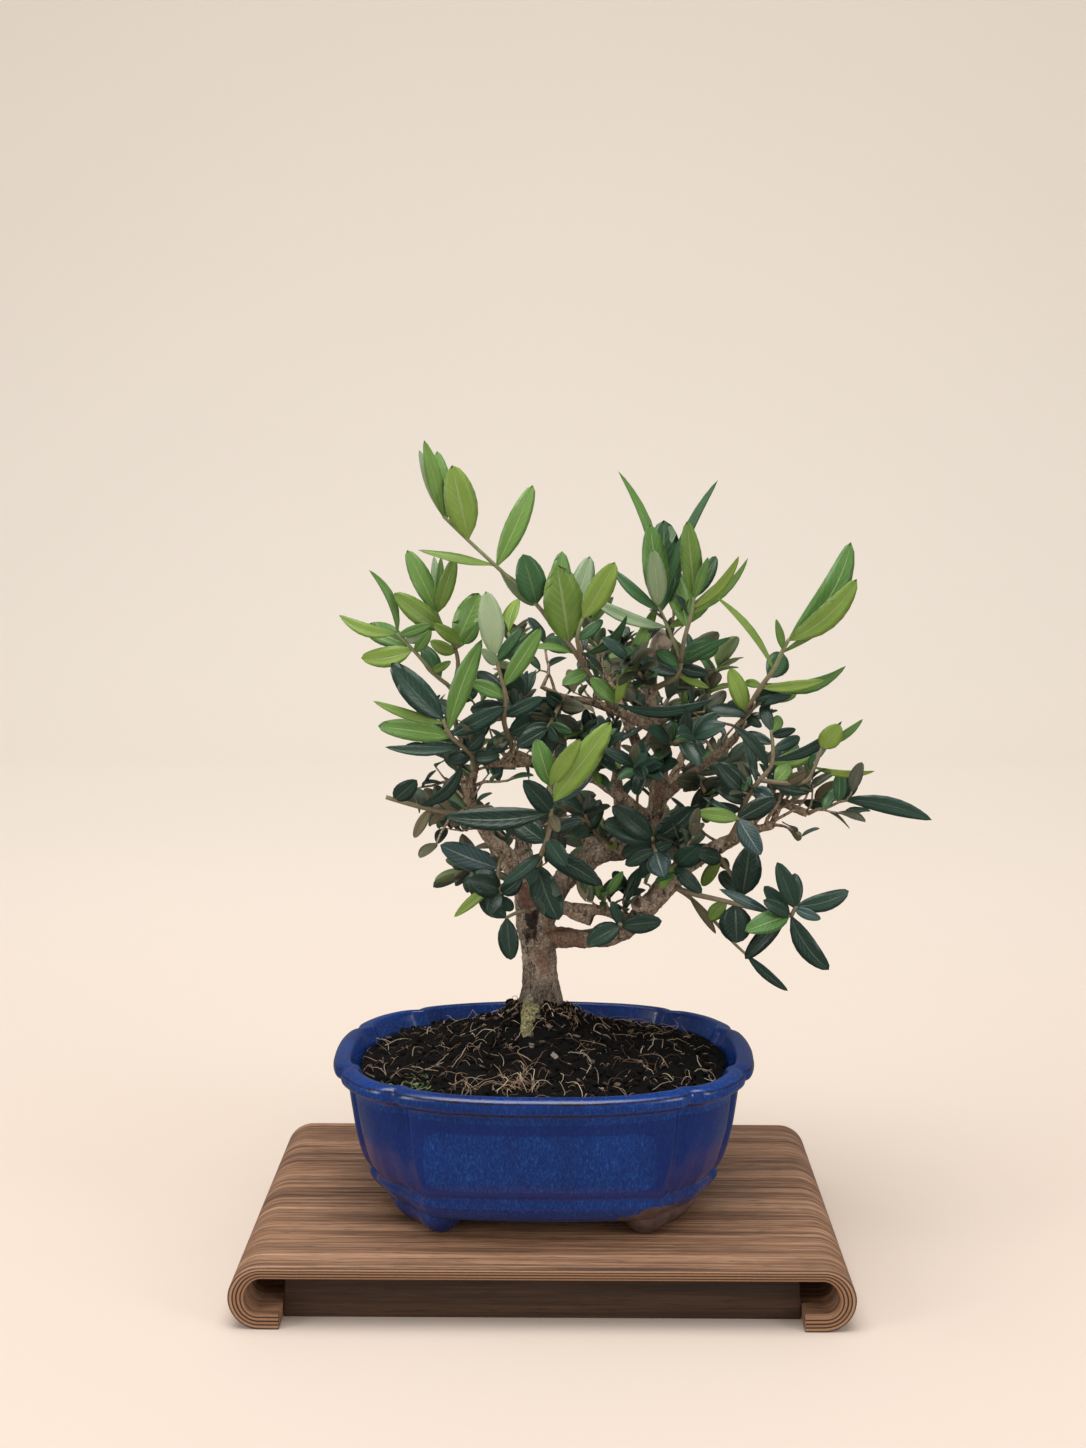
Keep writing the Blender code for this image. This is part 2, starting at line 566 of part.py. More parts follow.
SHOOTS = {
    "top_left": (
        [((616, 711, 4), (600, 691, -2), (585, 668, -6), (570, 645, -9), (550, 622, -11),
          (536, 604, -12), (497, 567, -14), (469, 541, -15), (443, 516, -16)),
         ((585, 668, -6), (577, 640, -14), (583, 618, -16))],
        (1.5, 0.8),
        [(PALE, 441, 515, 419, 450, 6.0, 2), (YOUNG, 443, 514, 424, 440, 7.0, 4),
         (YOUNG, 447, 519, 437, 451, 7.5, -8), (OLIVE, 468, 540, 452, 465, 15.0, 6),
         (YOUNG, 497, 566, 533, 485, 10.0, -6), (OLIVE, 494, 566, 418, 550, 6.0, 8, -0.10, 50),
         (PALE, 500, 569, 534, 606, 5.5, -7), (OLD, 537, 604, 523, 554, 14.0, 6),
         (YOUNG, 556, 628, 562, 551, 11.0, -10), (PALE, 565, 638, 590, 556, 12.0, -14),
         (OLIVE, 569, 643, 557, 565, 19.5, 8), (OLIVE, 583, 618, 615, 562, 11.5, 5),
         (OLD, 577, 640, 603, 620, 5.0, -6), (OLD, 581, 655, 627, 615, 5.0, 8, 0.12, 30),
         (YOUNG, 575, 655, 530, 648, 4.2, 8, 0.05, 40), (YOUNG, 588, 672, 562, 684, 6.5, 9),
         (OLD, 572, 652, 545, 641, 8.0, -12)]),
    "bridge_young": (
        [((616, 711, 4), (617, 706, -4), (616, 701, -8))], (1.1, 0.9),
        [(YOUNG, 616, 703, 590, 678, 7.5, 4), (OLIVE, 616, 703, 621, 673, 6.0, 5, 0, 35),
         (OLD, 618, 704, 714, 699, 5.6, 8, 0.09, 20), (YOUNG, 617, 704, 658, 603, 7.6, 6, -0.04, 20)]),
    "top_middle": (
        [((651, 690, 6), (664, 684, 0), (677, 676, -4), (681, 662, -6), (669, 630, -8),
          (658, 606, -9)),
         ((681, 662, -6), (684, 640, -12), (692, 612, -15), (694, 596, -16))],
        (1.7, 0.8),
        [(YOUNG, 660, 610, 618, 471, 4.6, -4, 0.07, 20), (OLD, 661, 612, 718, 480, 4.6, -12, -0.08, 20),
         (OLD, 661, 612, 664, 520, 17.5, -10), (YOUNG, 659, 608, 650, 524, 12.0, 5),
         (PALE, 657, 606, 653, 549, 9.0, 12), (YOUNG, 688, 628, 670, 566, 11.5, -2),
         (OLIVE, 694, 598, 687, 521, 9.6, 5), (YOUNG, 695, 600, 708, 557, 4.4, 8),
         (OLD, 694, 598, 716, 556, 7.0, -8), (OLIVE, 692, 608, 739, 556, 5.2, 4, 0.05, 30),
         (YOUNG, 691, 614, 748, 558, 4.6, -2, 0.05, 40), (OLIVE, 668, 628, 716, 584, 6.8, 9, 0.08),
         (OLD, 660, 612, 613, 569, 5.2, -7, -0.05), (PALE, 667, 628, 588, 596, 6.0, 5, -0.10, 20),
         (OLD, 682, 652, 719, 645, 10.5, -10), (OLD, 681, 664, 731, 637, 4.0, 6, -0.04, 20),
         (OLD, 678, 674, 633, 655, 6.8, 6, -0.05), (OLD, 680, 666, 656, 651, 6.5, -12),
         (OLD, 680, 668, 709, 674, 6.2, 7), (OLIVE, 678, 674, 709, 688, 3.6, 3)]),
    "right_top": (
        [((741, 724, 0), (752, 702, -6), (763, 684, -10), (774, 669, -13), (783, 650, -15),
          (789, 639, -16))],
        (1.5, 0.9),
        [(YOUNG, 789, 640, 851, 542, 12.6, -3, 0.09), (OLIVE, 789, 641, 857, 579, 11.0, 8, 0.08),
         (YOUNG, 784, 650, 776, 619, 3.4, 4), (OLIVE, 782, 653, 834, 621, 3.0, 2, -0.04, 30),
         (OLIVE, 774, 670, 715, 596, 3.4, 3, 0.04, 30), (OLD, 768, 678, 784, 654, 11.0, -12),
         (YOUNG, 764, 684, 846, 666, 6.4, -6, 0.12, 20), (OLIVE, 762, 688, 825, 680, 5.0, 10, 0.03),
         (OLD, 758, 693, 789, 687, 6.4, 3), (OLIVE, 746, 713, 730, 668, 8.6, 5),
         (YOUNG, 757, 695, 797, 694, 7.2, -12), (OLD, 752, 703, 792, 695, 4.6, 7),
         (OLIVE, 762, 686, 745, 682, 3.6, -6), (OLD, 747, 712, 727, 703, 6.0, -9),
         (OLD, 746, 715, 762, 727, 4.4, 7)]),
    "right_middle": (
        [((738, 836, -8), (741, 812, -14), (750, 793, -17), (760, 780, -18), (771, 766, -18),
          (773, 748, -17), (771, 730, -15)),
         ((760, 780, -18), (784, 783, -22), (806, 781, -23), (815, 766, -24), (822, 747, -25))],
        (1.7, 0.8),
        [(OLD, 768, 769, 733, 726, 5.6, 9, 0.05, 20), (OLD, 757, 784, 742, 728, 4.4, -8, 0, 20),
         (OLD, 748, 797, 717, 763, 10.5, 5), (OLD, 745, 803, 716, 789, 5.4, 10),
         (PALE, 753, 789, 774, 800, 7.6, 5), (OLD, 768, 782, 811, 791, 7.0, -6),
         (YOUNG, 775, 782, 790, 765, 8.0, -9), (DRY, 788, 783, 806, 772, 5.4, 8),
         (OLIVE, 772, 763, 815, 748, 8.2, -6, 0.06), (OLD, 773, 760, 842, 721, 5.2, 5, 0.10, 20),
         (OLD, 773, 750, 800, 737, 5.4, -10), (OLIVE, 814, 767, 875, 771, 3.4, 0, 0.05, 30),
         (OLIVE, 821, 748, 840, 724, 9.8, 3), (YOUNG, 822, 747, 863, 719, 3.6, 8, 0.03, 20),
         (OLD, 771, 736, 796, 729, 4.2, 6), (OLD, 772, 744, 745, 733, 4.8, -8),
         (YOUNG, 771, 734, 780, 716, 5.4, -8), (OLD, 771, 731, 762, 705, 5.6, -10)]),
    "far_right": (
        [((781, 803, -6), (798, 802, -1), (812, 801, 1), (830, 800, 2), (841, 799, 2))], (1.3, 0.8),
        [(OLD, 841, 799, 932, 820, 8.0, 3, -0.06), (OLD, 838, 799, 857, 773, 8.8, 4),
         (DRY, 815, 801, 838, 781, 7.4, 2), (OLD, 803, 802, 829, 808, 4.2, 9)]),
    "arm_end": (
        [((726, 843, -8), (734, 829, -18), (739, 818, -24))], (1.2, 0.9),
        [(PALE, 740, 819, 761, 855, 9.6, 8), (OLD, 740, 819, 776, 798, 9.0, -2),
         (OLIVE, 740, 819, 696, 813, 6.8, 4), (OLD, 741, 820, 703, 797, 3.0, -5, 0, 20)]),
    "under_arm": (
        [((714, 849, -8), (727, 868, -12), (737, 884, -14), (742, 896, -15))], (1.2, 0.8),
        [(OLD, 742, 896, 750, 845, 14.0, 5), (OLD, 741, 895, 720, 872, 8.0, -4),
         (DRY, 728, 871, 720, 858, 4.4, -6), (OLIVE, 721, 858, 702, 886, 6.0, -6),
         (OLD, 722, 860, 695, 852, 8.0, 12)]),
    "right_lower": (
        [((668, 884, -4), (690, 893, -14), (720, 900, -19), (748, 907, -22), (770, 912, -24),
          (791, 916, -25)),
         ((791, 916, -25), (796, 906, -26))],
        (1.5, 0.9),
        [(OLD, 796, 906, 849, 891, 8.6, -4, 0.06), (OLD, 792, 917, 829, 970, 9.6, 5, 0.06),
         (PALE, 795, 909, 821, 919, 4.6, 4), (OLD, 795, 908, 777, 862, 8.6, 6),
         (OLD, 795, 908, 795, 873, 6.6, -8), (OLD, 790, 915, 763, 900, 7.0, 8),
         (OLD, 789, 915, 764, 886, 7.0, -6), (YOUNG, 789, 917, 745, 931, 10.0, 7),
         (OLD, 786, 916, 745, 959, 8.0, -5), (OLD, 735, 904, 737, 943, 15.6, 3),
         (OLIVE, 727, 902, 709, 919, 7.0, -7), (PALE, 770, 912, 719, 889, 4.8, 9, -0.03, 20)]),
    "right_droop": (
        [((668, 884, -4), (684, 893, 2), (701, 907, 4), (718, 925, 4), (733, 942, 3),
          (748, 956, 2))],
        (1.2, 0.7),
        [(OLD, 747, 955, 788, 991, 4.8, 2, 0, 20), (DRY, 690, 898, 716, 934, 3.8, 4, -0.06, 20)]),
    "elbow_bud": (
        [((622, 931, 1), (621, 926, -7), (620, 924, -11))], (1.3, 1.1),
        [(OLD, 620, 925, 587, 944, 10.2, 3), (OLD, 621, 925, 662, 921, 9.0, 3),
         (OLD, 620, 925, 612, 901, 5.0, 2)]),
    "elbow_green": (
        [((604, 911, -2), (604, 903, -8), (606, 895, -10))], (0.9, 0.7),
        [(YOUNG, 606, 895, 623, 871, 4.2, 2), (OLIVE, 605, 900, 592, 880, 4.6, -3)]),
    "middle_front": (
        [((645, 841, 16), (650, 846, 6), (653, 842, -4), (653, 838, -10)),
         ((653, 842, -4), (656, 852, -14))],
        (1.5, 1.0),
        [(OLD, 652, 840, 603, 822, 12.6, 4), (OLD, 653, 839, 612, 806, 11.0, -4),
         (OLD, 653, 842, 622, 856, 8.8, -5), (OLD, 655, 850, 625, 865, 7.0, 3),
         (PALE, 656, 852, 664, 877, 11.8, 4), (OLD, 653, 839, 694, 807, 12.6, 4, 0.05),
         (OLD, 654, 840, 690, 834, 8.6, -6), (OLD, 655, 850, 672, 842, 6.0, 3),
         (OLD, 656, 852, 640, 878, 6.0, -6)]),
    "middle_speckled": (
        [((690, 862, -6), (680, 862, -12), (674, 866, -15))], (1.1, 0.9),
        [(OLD, 675, 866, 702, 893, 7.0, 2), (OLD, 676, 865, 706, 850, 8.0, 3),
         (OLD, 677, 864, 698, 846, 10.0, -3), (OLIVE, 674, 866, 660, 889, 5.0, -3)]),
    "centre_front": (
        [((528, 900, 12), (532, 884, -2), (537, 866, -20), (543, 850, -26), (548, 836, -30),
          (551, 815, -33), (550, 786, -35))],
        (1.7, 1.0),
        [(YOUNG, 549, 786, 536, 739, 9.8, 3), (OLIVE, 550, 786, 580, 739, 8.6, 6, -0.05, 25),
         (OLIVE, 551, 803, 611, 722, 13.0, 4), (OLD, 550, 812, 523, 780, 10.0, 5),
         (OLD, 538, 864, 559, 920, 14.4, 4, 0.04), (OLD, 542, 853, 601, 885, 9.8, 3, -0.05),
         (OLD, 542, 853, 503, 884, 6.2, 6, -0.04), (OLD, 551, 812, 444, 816, 10.8, 5, -0.06),
         (OLD, 549, 832, 583, 820, 5.4, -5, -0.05), (OLD, 546, 843, 510, 816, 12.4, -8),
         (OLD, 537, 866, 529, 885, 5.4, 2), (DRY, 551, 815, 559, 832, 5.2, -3),
         (PALE, 551, 803, 594, 769, 7.6, -7), (OLD, 548, 838, 566, 866, 8.6, -8)]),
    "left_lower": (
        [((505, 852, 8), (500, 862, -2), (498, 872, -8), (499, 884, -11), (502, 896, -12))],
        (1.3, 0.8),
        [(PALE, 498, 868, 440, 845, 12.0, 5, -0.03), (OLD, 498, 872, 463, 882, 6.0, 8),
         (OLD, 500, 890, 466, 878, 13.0, 3), (OLD, 500, 892, 490, 914, 8.4, 3),
         (OLIVE, 499, 880, 454, 917, 4.8, -6), (OLD, 501, 894, 522, 878, 8.0, 5),
         (OLD, 502, 896, 512, 911, 5.4, -3)]),
    "trunk_twig": (
        [((534, 914, 13), (524, 911, -2), (514, 914, -6), (506, 918, -8))], (1.2, 0.8),
        [(OLD, 507, 918, 511, 960, 9.8, 2), (OLD, 506, 918, 480, 896, 10.0, -5)]),
    "left_broken": (
        [((474, 812, 2), (460, 814, -4), (444, 812, -8), (425, 808, -10), (406, 803, -12),
          (386, 797, -13))],
        (1.4, 1.1),
        [(OLD, 394, 799, 417, 780, 8.8, 3), (OLD, 418, 806, 462, 763, 6.0, 3, 0.14, 20),
         (DRY, 430, 810, 414, 838, 4.8, 2), (DRY, 452, 813, 436, 794, 4.2, -3),
         (DRY, 446, 812, 430, 824, 3.4, -3), (DRY, 466, 813, 494, 807, 5.0, -5),
         (DRY, 468, 813, 450, 826, 5.0, 4)]),
    "left_middle": (
        [((476, 770, 2), (472, 756, -6), (462, 746, -12), (450, 735, -16), (443, 719, -17))],
        (1.5, 1.0),
        [(OLD, 443, 720, 391, 663, 13.0, 5, -0.03), (YOUNG, 448, 731, 482, 639, 9.8, 5, -0.04),
         (OLIVE, 444, 724, 373, 701, 4.6, 6, -0.06, 20), (YOUNG, 452, 737, 378, 726, 10.0, -4),
         (OLD, 462, 746, 385, 747, 5.2, 8, -0.08, 20), (OLD, 460, 745, 421, 738, 9.0, -8),
         (OLD, 450, 735, 505, 707, 8.4, 4), (OLD, 463, 747, 490, 714, 9.0, -6),
         (OLD, 471, 755, 447, 762, 7.0, 6), (OLD, 473, 758, 500, 755, 7.0, 6),
         (OLD, 466, 750, 484, 733, 7.6, 6)]),
    "left_pale": (
        [((514, 756, 0), (510, 740, -8), (504, 722, -12), (506, 700, -16), (503, 684, -18),
          (495, 656, -20))],
        (1.5, 0.9),
        [(PALE, 494, 656, 486, 591, 11.8, 4), (YOUNG, 504, 686, 541, 628, 8.2, 5),
         (OLD, 497, 660, 522, 628, 5.0, -5), (OLD, 498, 662, 540, 626, 4.2, -12, 0, 20),
         (OLD, 499, 668, 523, 692, 8.8, -7), (YOUNG, 505, 697, 470, 682, 7.0, 5),
         (OLD, 504, 692, 476, 672, 6.4, -8), (PALE, 498, 664, 481, 649, 5.0, 5),
         (OLD, 505, 706, 470, 710, 7.0, 7), (DRY, 504, 720, 479, 708, 5.4, 3),
         (OLD, 505, 716, 543, 697, 6.4, 6), (OLD, 508, 734, 547, 712, 11.0, -4),
         (OLD, 509, 738, 486, 752, 8.0, 5)]),
    "left_crown": (
        [((486, 764, -5), (470, 748, 4), (459, 735, 6), (454, 712, 2), (452, 690, -2),
          (434, 674, -6), (417, 654, -9), (396, 633, -11)),
         ((452, 690, -2), (458, 668, -2), (455, 648, -3), (443, 628, -4), (436, 611, -5)),
         ((455, 648, -3), (463, 644, -6))],
        (1.6, 0.8),
        [(OLIVE, 396, 633, 339, 615, 6.2, 5, -0.14, 20), (YOUNG, 398, 634, 369, 570, 4.0, 3, 0.10, 20),
         (YOUNG, 409, 646, 366, 627, 10.6, -6), (OLIVE, 412, 650, 361, 658, 9.6, 5, -0.08),
         (YOUNG, 399, 635, 432, 624, 4.6, 4), (PALE, 404, 641, 432, 631, 6.0, -4),
         (YOUNG, 415, 652, 431, 630, 5.0, 6), (OLD, 440, 680, 423, 645, 7.8, -7),
         (OLIVE, 432, 672, 451, 661, 3.6, 5), (YOUNG, 437, 614, 407, 550, 9.6, -4),
         (PALE, 436, 612, 434, 556, 4.2, -8), (YOUNG, 436, 612, 441, 557, 4.2, -3),
         (OLIVE, 437, 613, 455, 556, 7.4, 4), (OLIVE, 444, 630, 394, 593, 10.4, 5, -0.03),
         (YOUNG, 455, 646, 479, 593, 13.6, -8), (YOUNG, 463, 644, 478, 624, 6.0, 5),
         (OLIVE, 462, 645, 433, 624, 6.0, 7), (OLIVE, 457, 652, 430, 641, 6.0, 6, -0.06),
         (OLD, 454, 700, 478, 690, 6.6, -7), (OLD, 455, 715, 436, 701, 6.6, -8)]),
}

# Shoots that the reference view hides or shows only as dark depth: stem, leaf pairs, tone
# and leaf length in mm. Their leaves stand in crossed pairs, placed by a seeded rule.
RULED = {
    "back_left_up": (((462, 778, 66), (444, 748, 74), (428, 716, 76)), 3, OLD, 21),
    "back_left_out": (((478, 815, 60), (454, 812, 76), (434, 806, 86)), 3, OLD, 21),
    "back_left_low": (((500, 850, 50), (482, 862, 68), (466, 872, 80)), 3, OLD, 20),
    "back_left_top": (((470, 797, 63), (480, 745, 80), (482, 696, 92)), 3, OLIVE, 22),
    "back_middle_up": (((532, 708, 56), (518, 672, 66), (508, 632, 72)), 3, OLIVE, 22),
    "back_middle_out": (((550, 752, 50), (536, 736, 74), (522, 718, 95)), 3, OLD, 22),
    "back_middle_low": (((575, 805, 40), (560, 812, 66), (548, 822, 90)), 3, OLD, 21),
    "back_up_tip": (((602, 668, 54), (594, 636, 62), (590, 602, 68)), 3, YOUNG, 23),
    "back_up_out": (((620, 705, 48), (614, 690, 74), (606, 668, 97)), 3, OLD, 22),
    "back_right_up": (((690, 738, 70), (704, 704, 76), (718, 668, 78)), 3, OLIVE, 22),
    "back_right_out": (((672, 778, 66), (702, 770, 80), (730, 764, 92)), 3, OLD, 22),
    "back_right_low": (((645, 818, 56), (662, 832, 76), (680, 846, 94)), 3, OLD, 21),
    "back_right_top": (((681, 759, 68), (690, 712, 88), (682, 662, 100)), 3, OLD, 22),
    "back_right_in": (((640, 752, 34), (664, 706, 48), (690, 664, 56)), 3, OLD, 22),
    "back_low": (((610, 848, 40), (602, 846, 66), (592, 846, 90)), 3, OLD, 21),
    "inner_top": (((651, 690, 6), (640, 674, -8), (628, 660, -18)), 3, OLD, 17),
    "inner_right": (((656, 722, 8), (680, 716, 2), (706, 712, -6)), 3, OLD, 18),
    "inner_bridge": (((617, 742, 17), (600, 735, 8), (580, 730, -4)), 3, OLD, 17),
    "inner_left": (((563, 697, 3), (556, 712, -10), (548, 728, -18)), 3, OLD, 17),
    "inner_middle": (((594, 778, 5), (598, 762, -12), (606, 748, -26)), 3, OLD, 16),
    "front_right": (((661, 748, 10), (676, 742, -14), (694, 738, -38)), 3, OLD, 19),
    "front_middle": (((659, 780, 12), (646, 772, -10), (634, 766, -32)), 3, OLD, 18),
    "front_low": (((622, 850, 18), (594, 832, 0), (584, 812, -14)), 3, OLD, 17),
    "right_arm_mid": (((694, 772, 6), (704, 790, -4), (712, 806, -12)), 3, OLD, 17),
}


class Blade:
    """One leaf blade: where it stands and how it lies."""

    def __init__(self, foot, tip, face, width, bow=0.0, arch=0.06, plain=False):
        self.foot = foot
        self.length = (tip - foot).length
        self.along = (tip - foot).normalized()
        self.face = (face - self.along * face.dot(self.along)).normalized()
        self.side = self.along.cross(self.face)
        self.width = width
        self.bow = bow
        self.arch = arch
        self.plain = plain or width < NARROW_LEAF

    def spine(self, share):
        swell = 4 * share * (1 - share) * self.length
        return (self.foot + self.along * self.length * share
                + self.face * self.arch * swell + self.side * self.bow * swell)

    def half_width(self, share):
        if share == 0.0:
            return STALK_FOOT
        if share < 0.14:
            return STALK_HALF_WIDTH
        reach = (share - 0.08) / 0.92
        return STALK_HALF_WIDTH + self.width / 2 * math.sin(math.pi * reach ** 0.9) ** 0.8

    def shape(self, grow=0.0, start=0.0):
        """Thin closed blade: flat above, keeled below, split into triangles."""
        shape = bmesh.new()
        sections = []
        shares = (0.30, 0.68) if self.plain else (0.13, 0.38, 0.70)
        for share in (start, *shares):
            centre = self.spine(share)
            half = self.half_width(share) + grow
            keel = (LEAF_KEEL if share else LEAF_KEEL / 2) + grow
            sections.append((shape.verts.new(centre - self.side * half + self.face * grow),
                             shape.verts.new(centre + self.side * half + self.face * grow),
                             shape.verts.new(centre - self.face * keel)))
        shape.faces.new(sections[0])
        for low, high in zip(sections, sections[1:]):
            for i in range(3):
                j = (i + 1) % 3
                shape.faces.new((low[i], low[j], high[j]))
                shape.faces.new((low[i], high[j], high[i]))
        tip = shape.verts.new(self.spine(1.0) + self.along * grow)
        last = sections[-1]
        for i in range(3):
            shape.faces.new((last[i], last[(i + 1) % 3], tip))
        return shape


def tree_of(shape):
    """Search tree of a shape, which it uses up."""
    tree = BVHTree.FromBMesh(shape)
    shape.free()
    return tree


def crosses(tree, obstacles):
    return any(tree.overlap(other) for other in obstacles)


def nearest_on_routes(routes, column, row):
    """Depth of a shoot's stem where the view shows it nearest a point."""
    best = None
    for route in routes:
        for before, after in zip(route, route[1:]):
            run = (after[0] - before[0], after[1] - before[1])
            size = run[0] ** 2 + run[1] ** 2
            share = ((column - before[0]) * run[0] + (row - before[1]) * run[1]) / max(size, 1e-9)
            share = min(max(share, 0.0), 1.0)
            place = [before[k] + (after[k] - before[k]) * share for k in range(3)]
            away = math.hypot(place[0] - column, place[1] - row)
            if best is None or away < best[0]:
                best = (away, place)
    return best[1]


def seen_blade(routes, leaf, shift):
    """Blade of a leaf that the view shows, its tip moved shift mm in depth."""
    tone, foot_column, foot_row, tip_column, tip_row, width = leaf[:6]
    lean = leaf[6] if len(leaf) > 6 else 0.0
    bow = leaf[7] if len(leaf) > 7 else 0.0
    roll = leaf[8] if len(leaf) > 8 else 8.0
    column, row, depth = nearest_on_routes(routes, foot_column, foot_row)
    foot = seen(column, row, depth)
    tip = seen(tip_column, tip_row, depth - lean + shift)
    face = (EYE - foot).normalized()
    along = (tip - foot).normalized()
    face = Matrix.Rotation(math.radians(roll), 3, along) @ face
    return Blade(foot, tip, face, width * MM, bow)


def ruled_blades(stops, pairs, length, seed):
    """Candidates for the leaves of a ruled shoot: for each leaf a list of blades to try."""
    draw = random.Random(seed)
    points = [seen(*stop) for stop in stops]
    runs = [(after - before).length for before, after in zip(points, points[1:])]
    total = sum(runs)
    wanted = []
    for pair in range(pairs):
        share = 0.30 + 0.70 * pair / (pairs - 1)
        for side in (0, 1):
            if pair == pairs - 1 and side == 1:
                share = 1.0
            travelled = share * total
            k = 0
            while k < len(runs) - 1 and travelled > runs[k]:
                travelled -= runs[k]
                k += 1
            along = (points[k + 1] - points[k]).normalized()
            foot = points[k] + along * min(travelled, runs[k])
            turn = math.radians(90 * pair + 180 * side + draw.uniform(-20, 20))
            size = length * draw.uniform(0.8, 1.15) * MM
            width = size * draw.uniform(0.36, 0.50)
            lift = draw.uniform(0.35, 0.75) + (0.5 if pair == pairs - 1 else 0.0)
            wanted.append((foot, along, turn, size, width, lift))
    candidates = []
    for foot, along, turn, size, width, lift in wanted:
        level = along.cross(Vector((0, 0, 1))).normalized()
        over = level.cross(along).normalized()
        tries = []
        for swing in LEAF_SWINGS:
            angle = turn + math.radians(swing)
            out = level * math.cos(angle) + over * math.sin(angle)
            course = (out + along * lift + Vector((0, 0, 0.18))).normalized()
            face = (along - course * along.dot(course) + Vector((0, 0, 0.5))).normalized()
            for scale in (1.0, 0.8):
                tip = foot + course * size * scale
                tries.append(Blade(foot, tip, face, width * scale, plain=True))
        candidates.append(tries)
    return candidates


def stem_shapes(routes, radii, grow=0.0):
    """Tubes of a shoot's stems, past the foot of the last leaf; the first starts in its limb."""
    shapes = []
    for k, route in enumerate(routes):
        points = [seen(*stop) for stop in route]
        points[-1] += (points[-1] - points[-2]).normalized() * STEM_TIP
        start = radii[0] if k == 0 else (radii[0] + radii[1]) / 2
        sizes = [(start + (radii[1] - start) * i / (len(points) - 1)) * MM
                 for i in range(len(points))]
        sides = STEM_SIDES if radii[0] > 1.4 else 4
        shapes.append(tube(points, sizes, sides, grow, twist=0.4 + k))
    return shapes


def make_shoots(materials):
    """Lay out every shoot clear of the others, then fuse each into one body."""
    grown = [tree_of(shape) for name, shape in limb_tubes(CLEARANCE)]
    routes_of = {name: (shoot[0], shoot[1]) for name, shoot in SHOOTS.items()}
    for name, (stops, pairs, tone, length) in RULED.items():
        routes_of[name] = ([stops], RULED_STEM_RADII)
    stems = {}
    for name, (routes, radii) in routes_of.items():
        stems[name] = [tree_of(shape) for shape in stem_shapes(routes, radii, CLEARANCE)]
    placed = {name: [] for name in routes_of}

    def obstacles(name):
        others = list(grown)
        for other, trees in stems.items():
            if other != name:
                others.extend(trees)
        for other, trees in placed.items():
            if other != name:
                others.extend(trees)
        return others

    chosen = {name: [] for name in routes_of}
    for name, (routes, radii, leaves) in SHOOTS.items():
        blocked = obstacles(name)
        own = list(stems[name])
        for leaf in leaves:
            blades = [seen_blade(routes, leaf, shift) for shift in DEPTH_SHIFTS]
            clear = [blade for blade in blades
                     if not crosses(tree_of(blade.shape(CLEARANCE)), blocked)]
            free = [blade for blade in clear
                    if not crosses(tree_of(blade.shape(0.0, OWN_START)), own)]
            if not clear:
                continue
            blade = (free or clear)[0]
            chosen[name].append((leaf[0], blade))
            placed[name].append(tree_of(blade.shape(CLEARANCE)))
            own.append(tree_of(blade.shape(0.0, OWN_START)))
    for seed, (name, (stops, pairs, tone, length)) in enumerate(RULED.items()):
        blocked = obstacles(name)
        own = list(stems[name])
        for tries in ruled_blades(stops, pairs, length, seed):
            for blade in tries:
                if (crosses(tree_of(blade.shape(CLEARANCE)), blocked)
                        or crosses(tree_of(blade.shape(0.0, OWN_START)), own)):
                    continue
                chosen[name].append((tone, blade))
                placed[name].append(tree_of(blade.shape(CLEARANCE)))
                own.append(tree_of(blade.shape(0.0, OWN_START)))
                break
    for name, (routes, radii) in routes_of.items():
        young = sum(tone in (YOUNG, OLIVE, PALE) for tone, blade in chosen[name])
        slot = "leaf_young" if young * 2 > len(chosen[name]) else "leaf_old"
        stem_parts = [new_object("stem", shape, None) for shape in stem_shapes(routes, radii)]
        shoot = stem_parts[0]
        shoot.name = "shoot_" + name
        shoot.data.materials.append(materials[slot])
        limbs = [new_object("limb", shape, None) for label, shape in limb_tubes(BUTT_GAP)]
        combine(shoot, limbs, "DIFFERENCE")
        drop_scraps(shoot)
        leaves = [new_object("leaf", blade.shape(), None) for tone, blade in chosen[name]]
        combine(shoot, stem_parts[1:] + leaves, "UNION")
        drop_scraps(shoot)
        shoot.data.shade_smooth()
        shoot.data.set_sharp_from_angle(angle=math.radians(50))


def main():
    clear_scene()
    walnut = new_material("walnut", (0.20, 0.105, 0.055), 0.5)
    dark_walnut = new_material("dark_walnut", (0.10, 0.05, 0.028), 0.55)
    glaze = new_material("cobalt_glaze", (0.012, 0.045, 0.24), 0.12)
    plastic = new_material("drain_plastic", (0.02, 0.02, 0.02), 0.6)
    peat = new_material("peat", (0.018, 0.013, 0.010), 0.95)
    bark = new_material("bark", (0.16, 0.11, 0.075), 0.85)
    leaves = {"leaf_young": new_material("leaf_young", (0.13, 0.26, 0.04), 0.42),
              "leaf_old": new_material("leaf_old", (0.018, 0.065, 0.045), 0.38)}
    make_stand(walnut, dark_walnut)
    make_pot(glaze)
    make_drain_meshes(plastic)
    make_trunk(bark)
    cutters = [new_object("cutter", shape, None) for shape in root_tubes(GAP)]
    cutters += [new_object("cutter", shape, None) for name, shape in limb_tubes(GAP)
                if name == "trunk"]
    make_soil(peat, cutters)
    make_shoots(leaves)
    for thing in bpy.data.objects:
        thing.location = (POT_MIDDLE_X, POT_MIDDLE_Y, 0.0)


main()
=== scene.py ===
import json
import math
import random

import bpy
import numpy as np
from mathutils import Matrix, Vector, noise
from mathutils.kdtree import KDTree


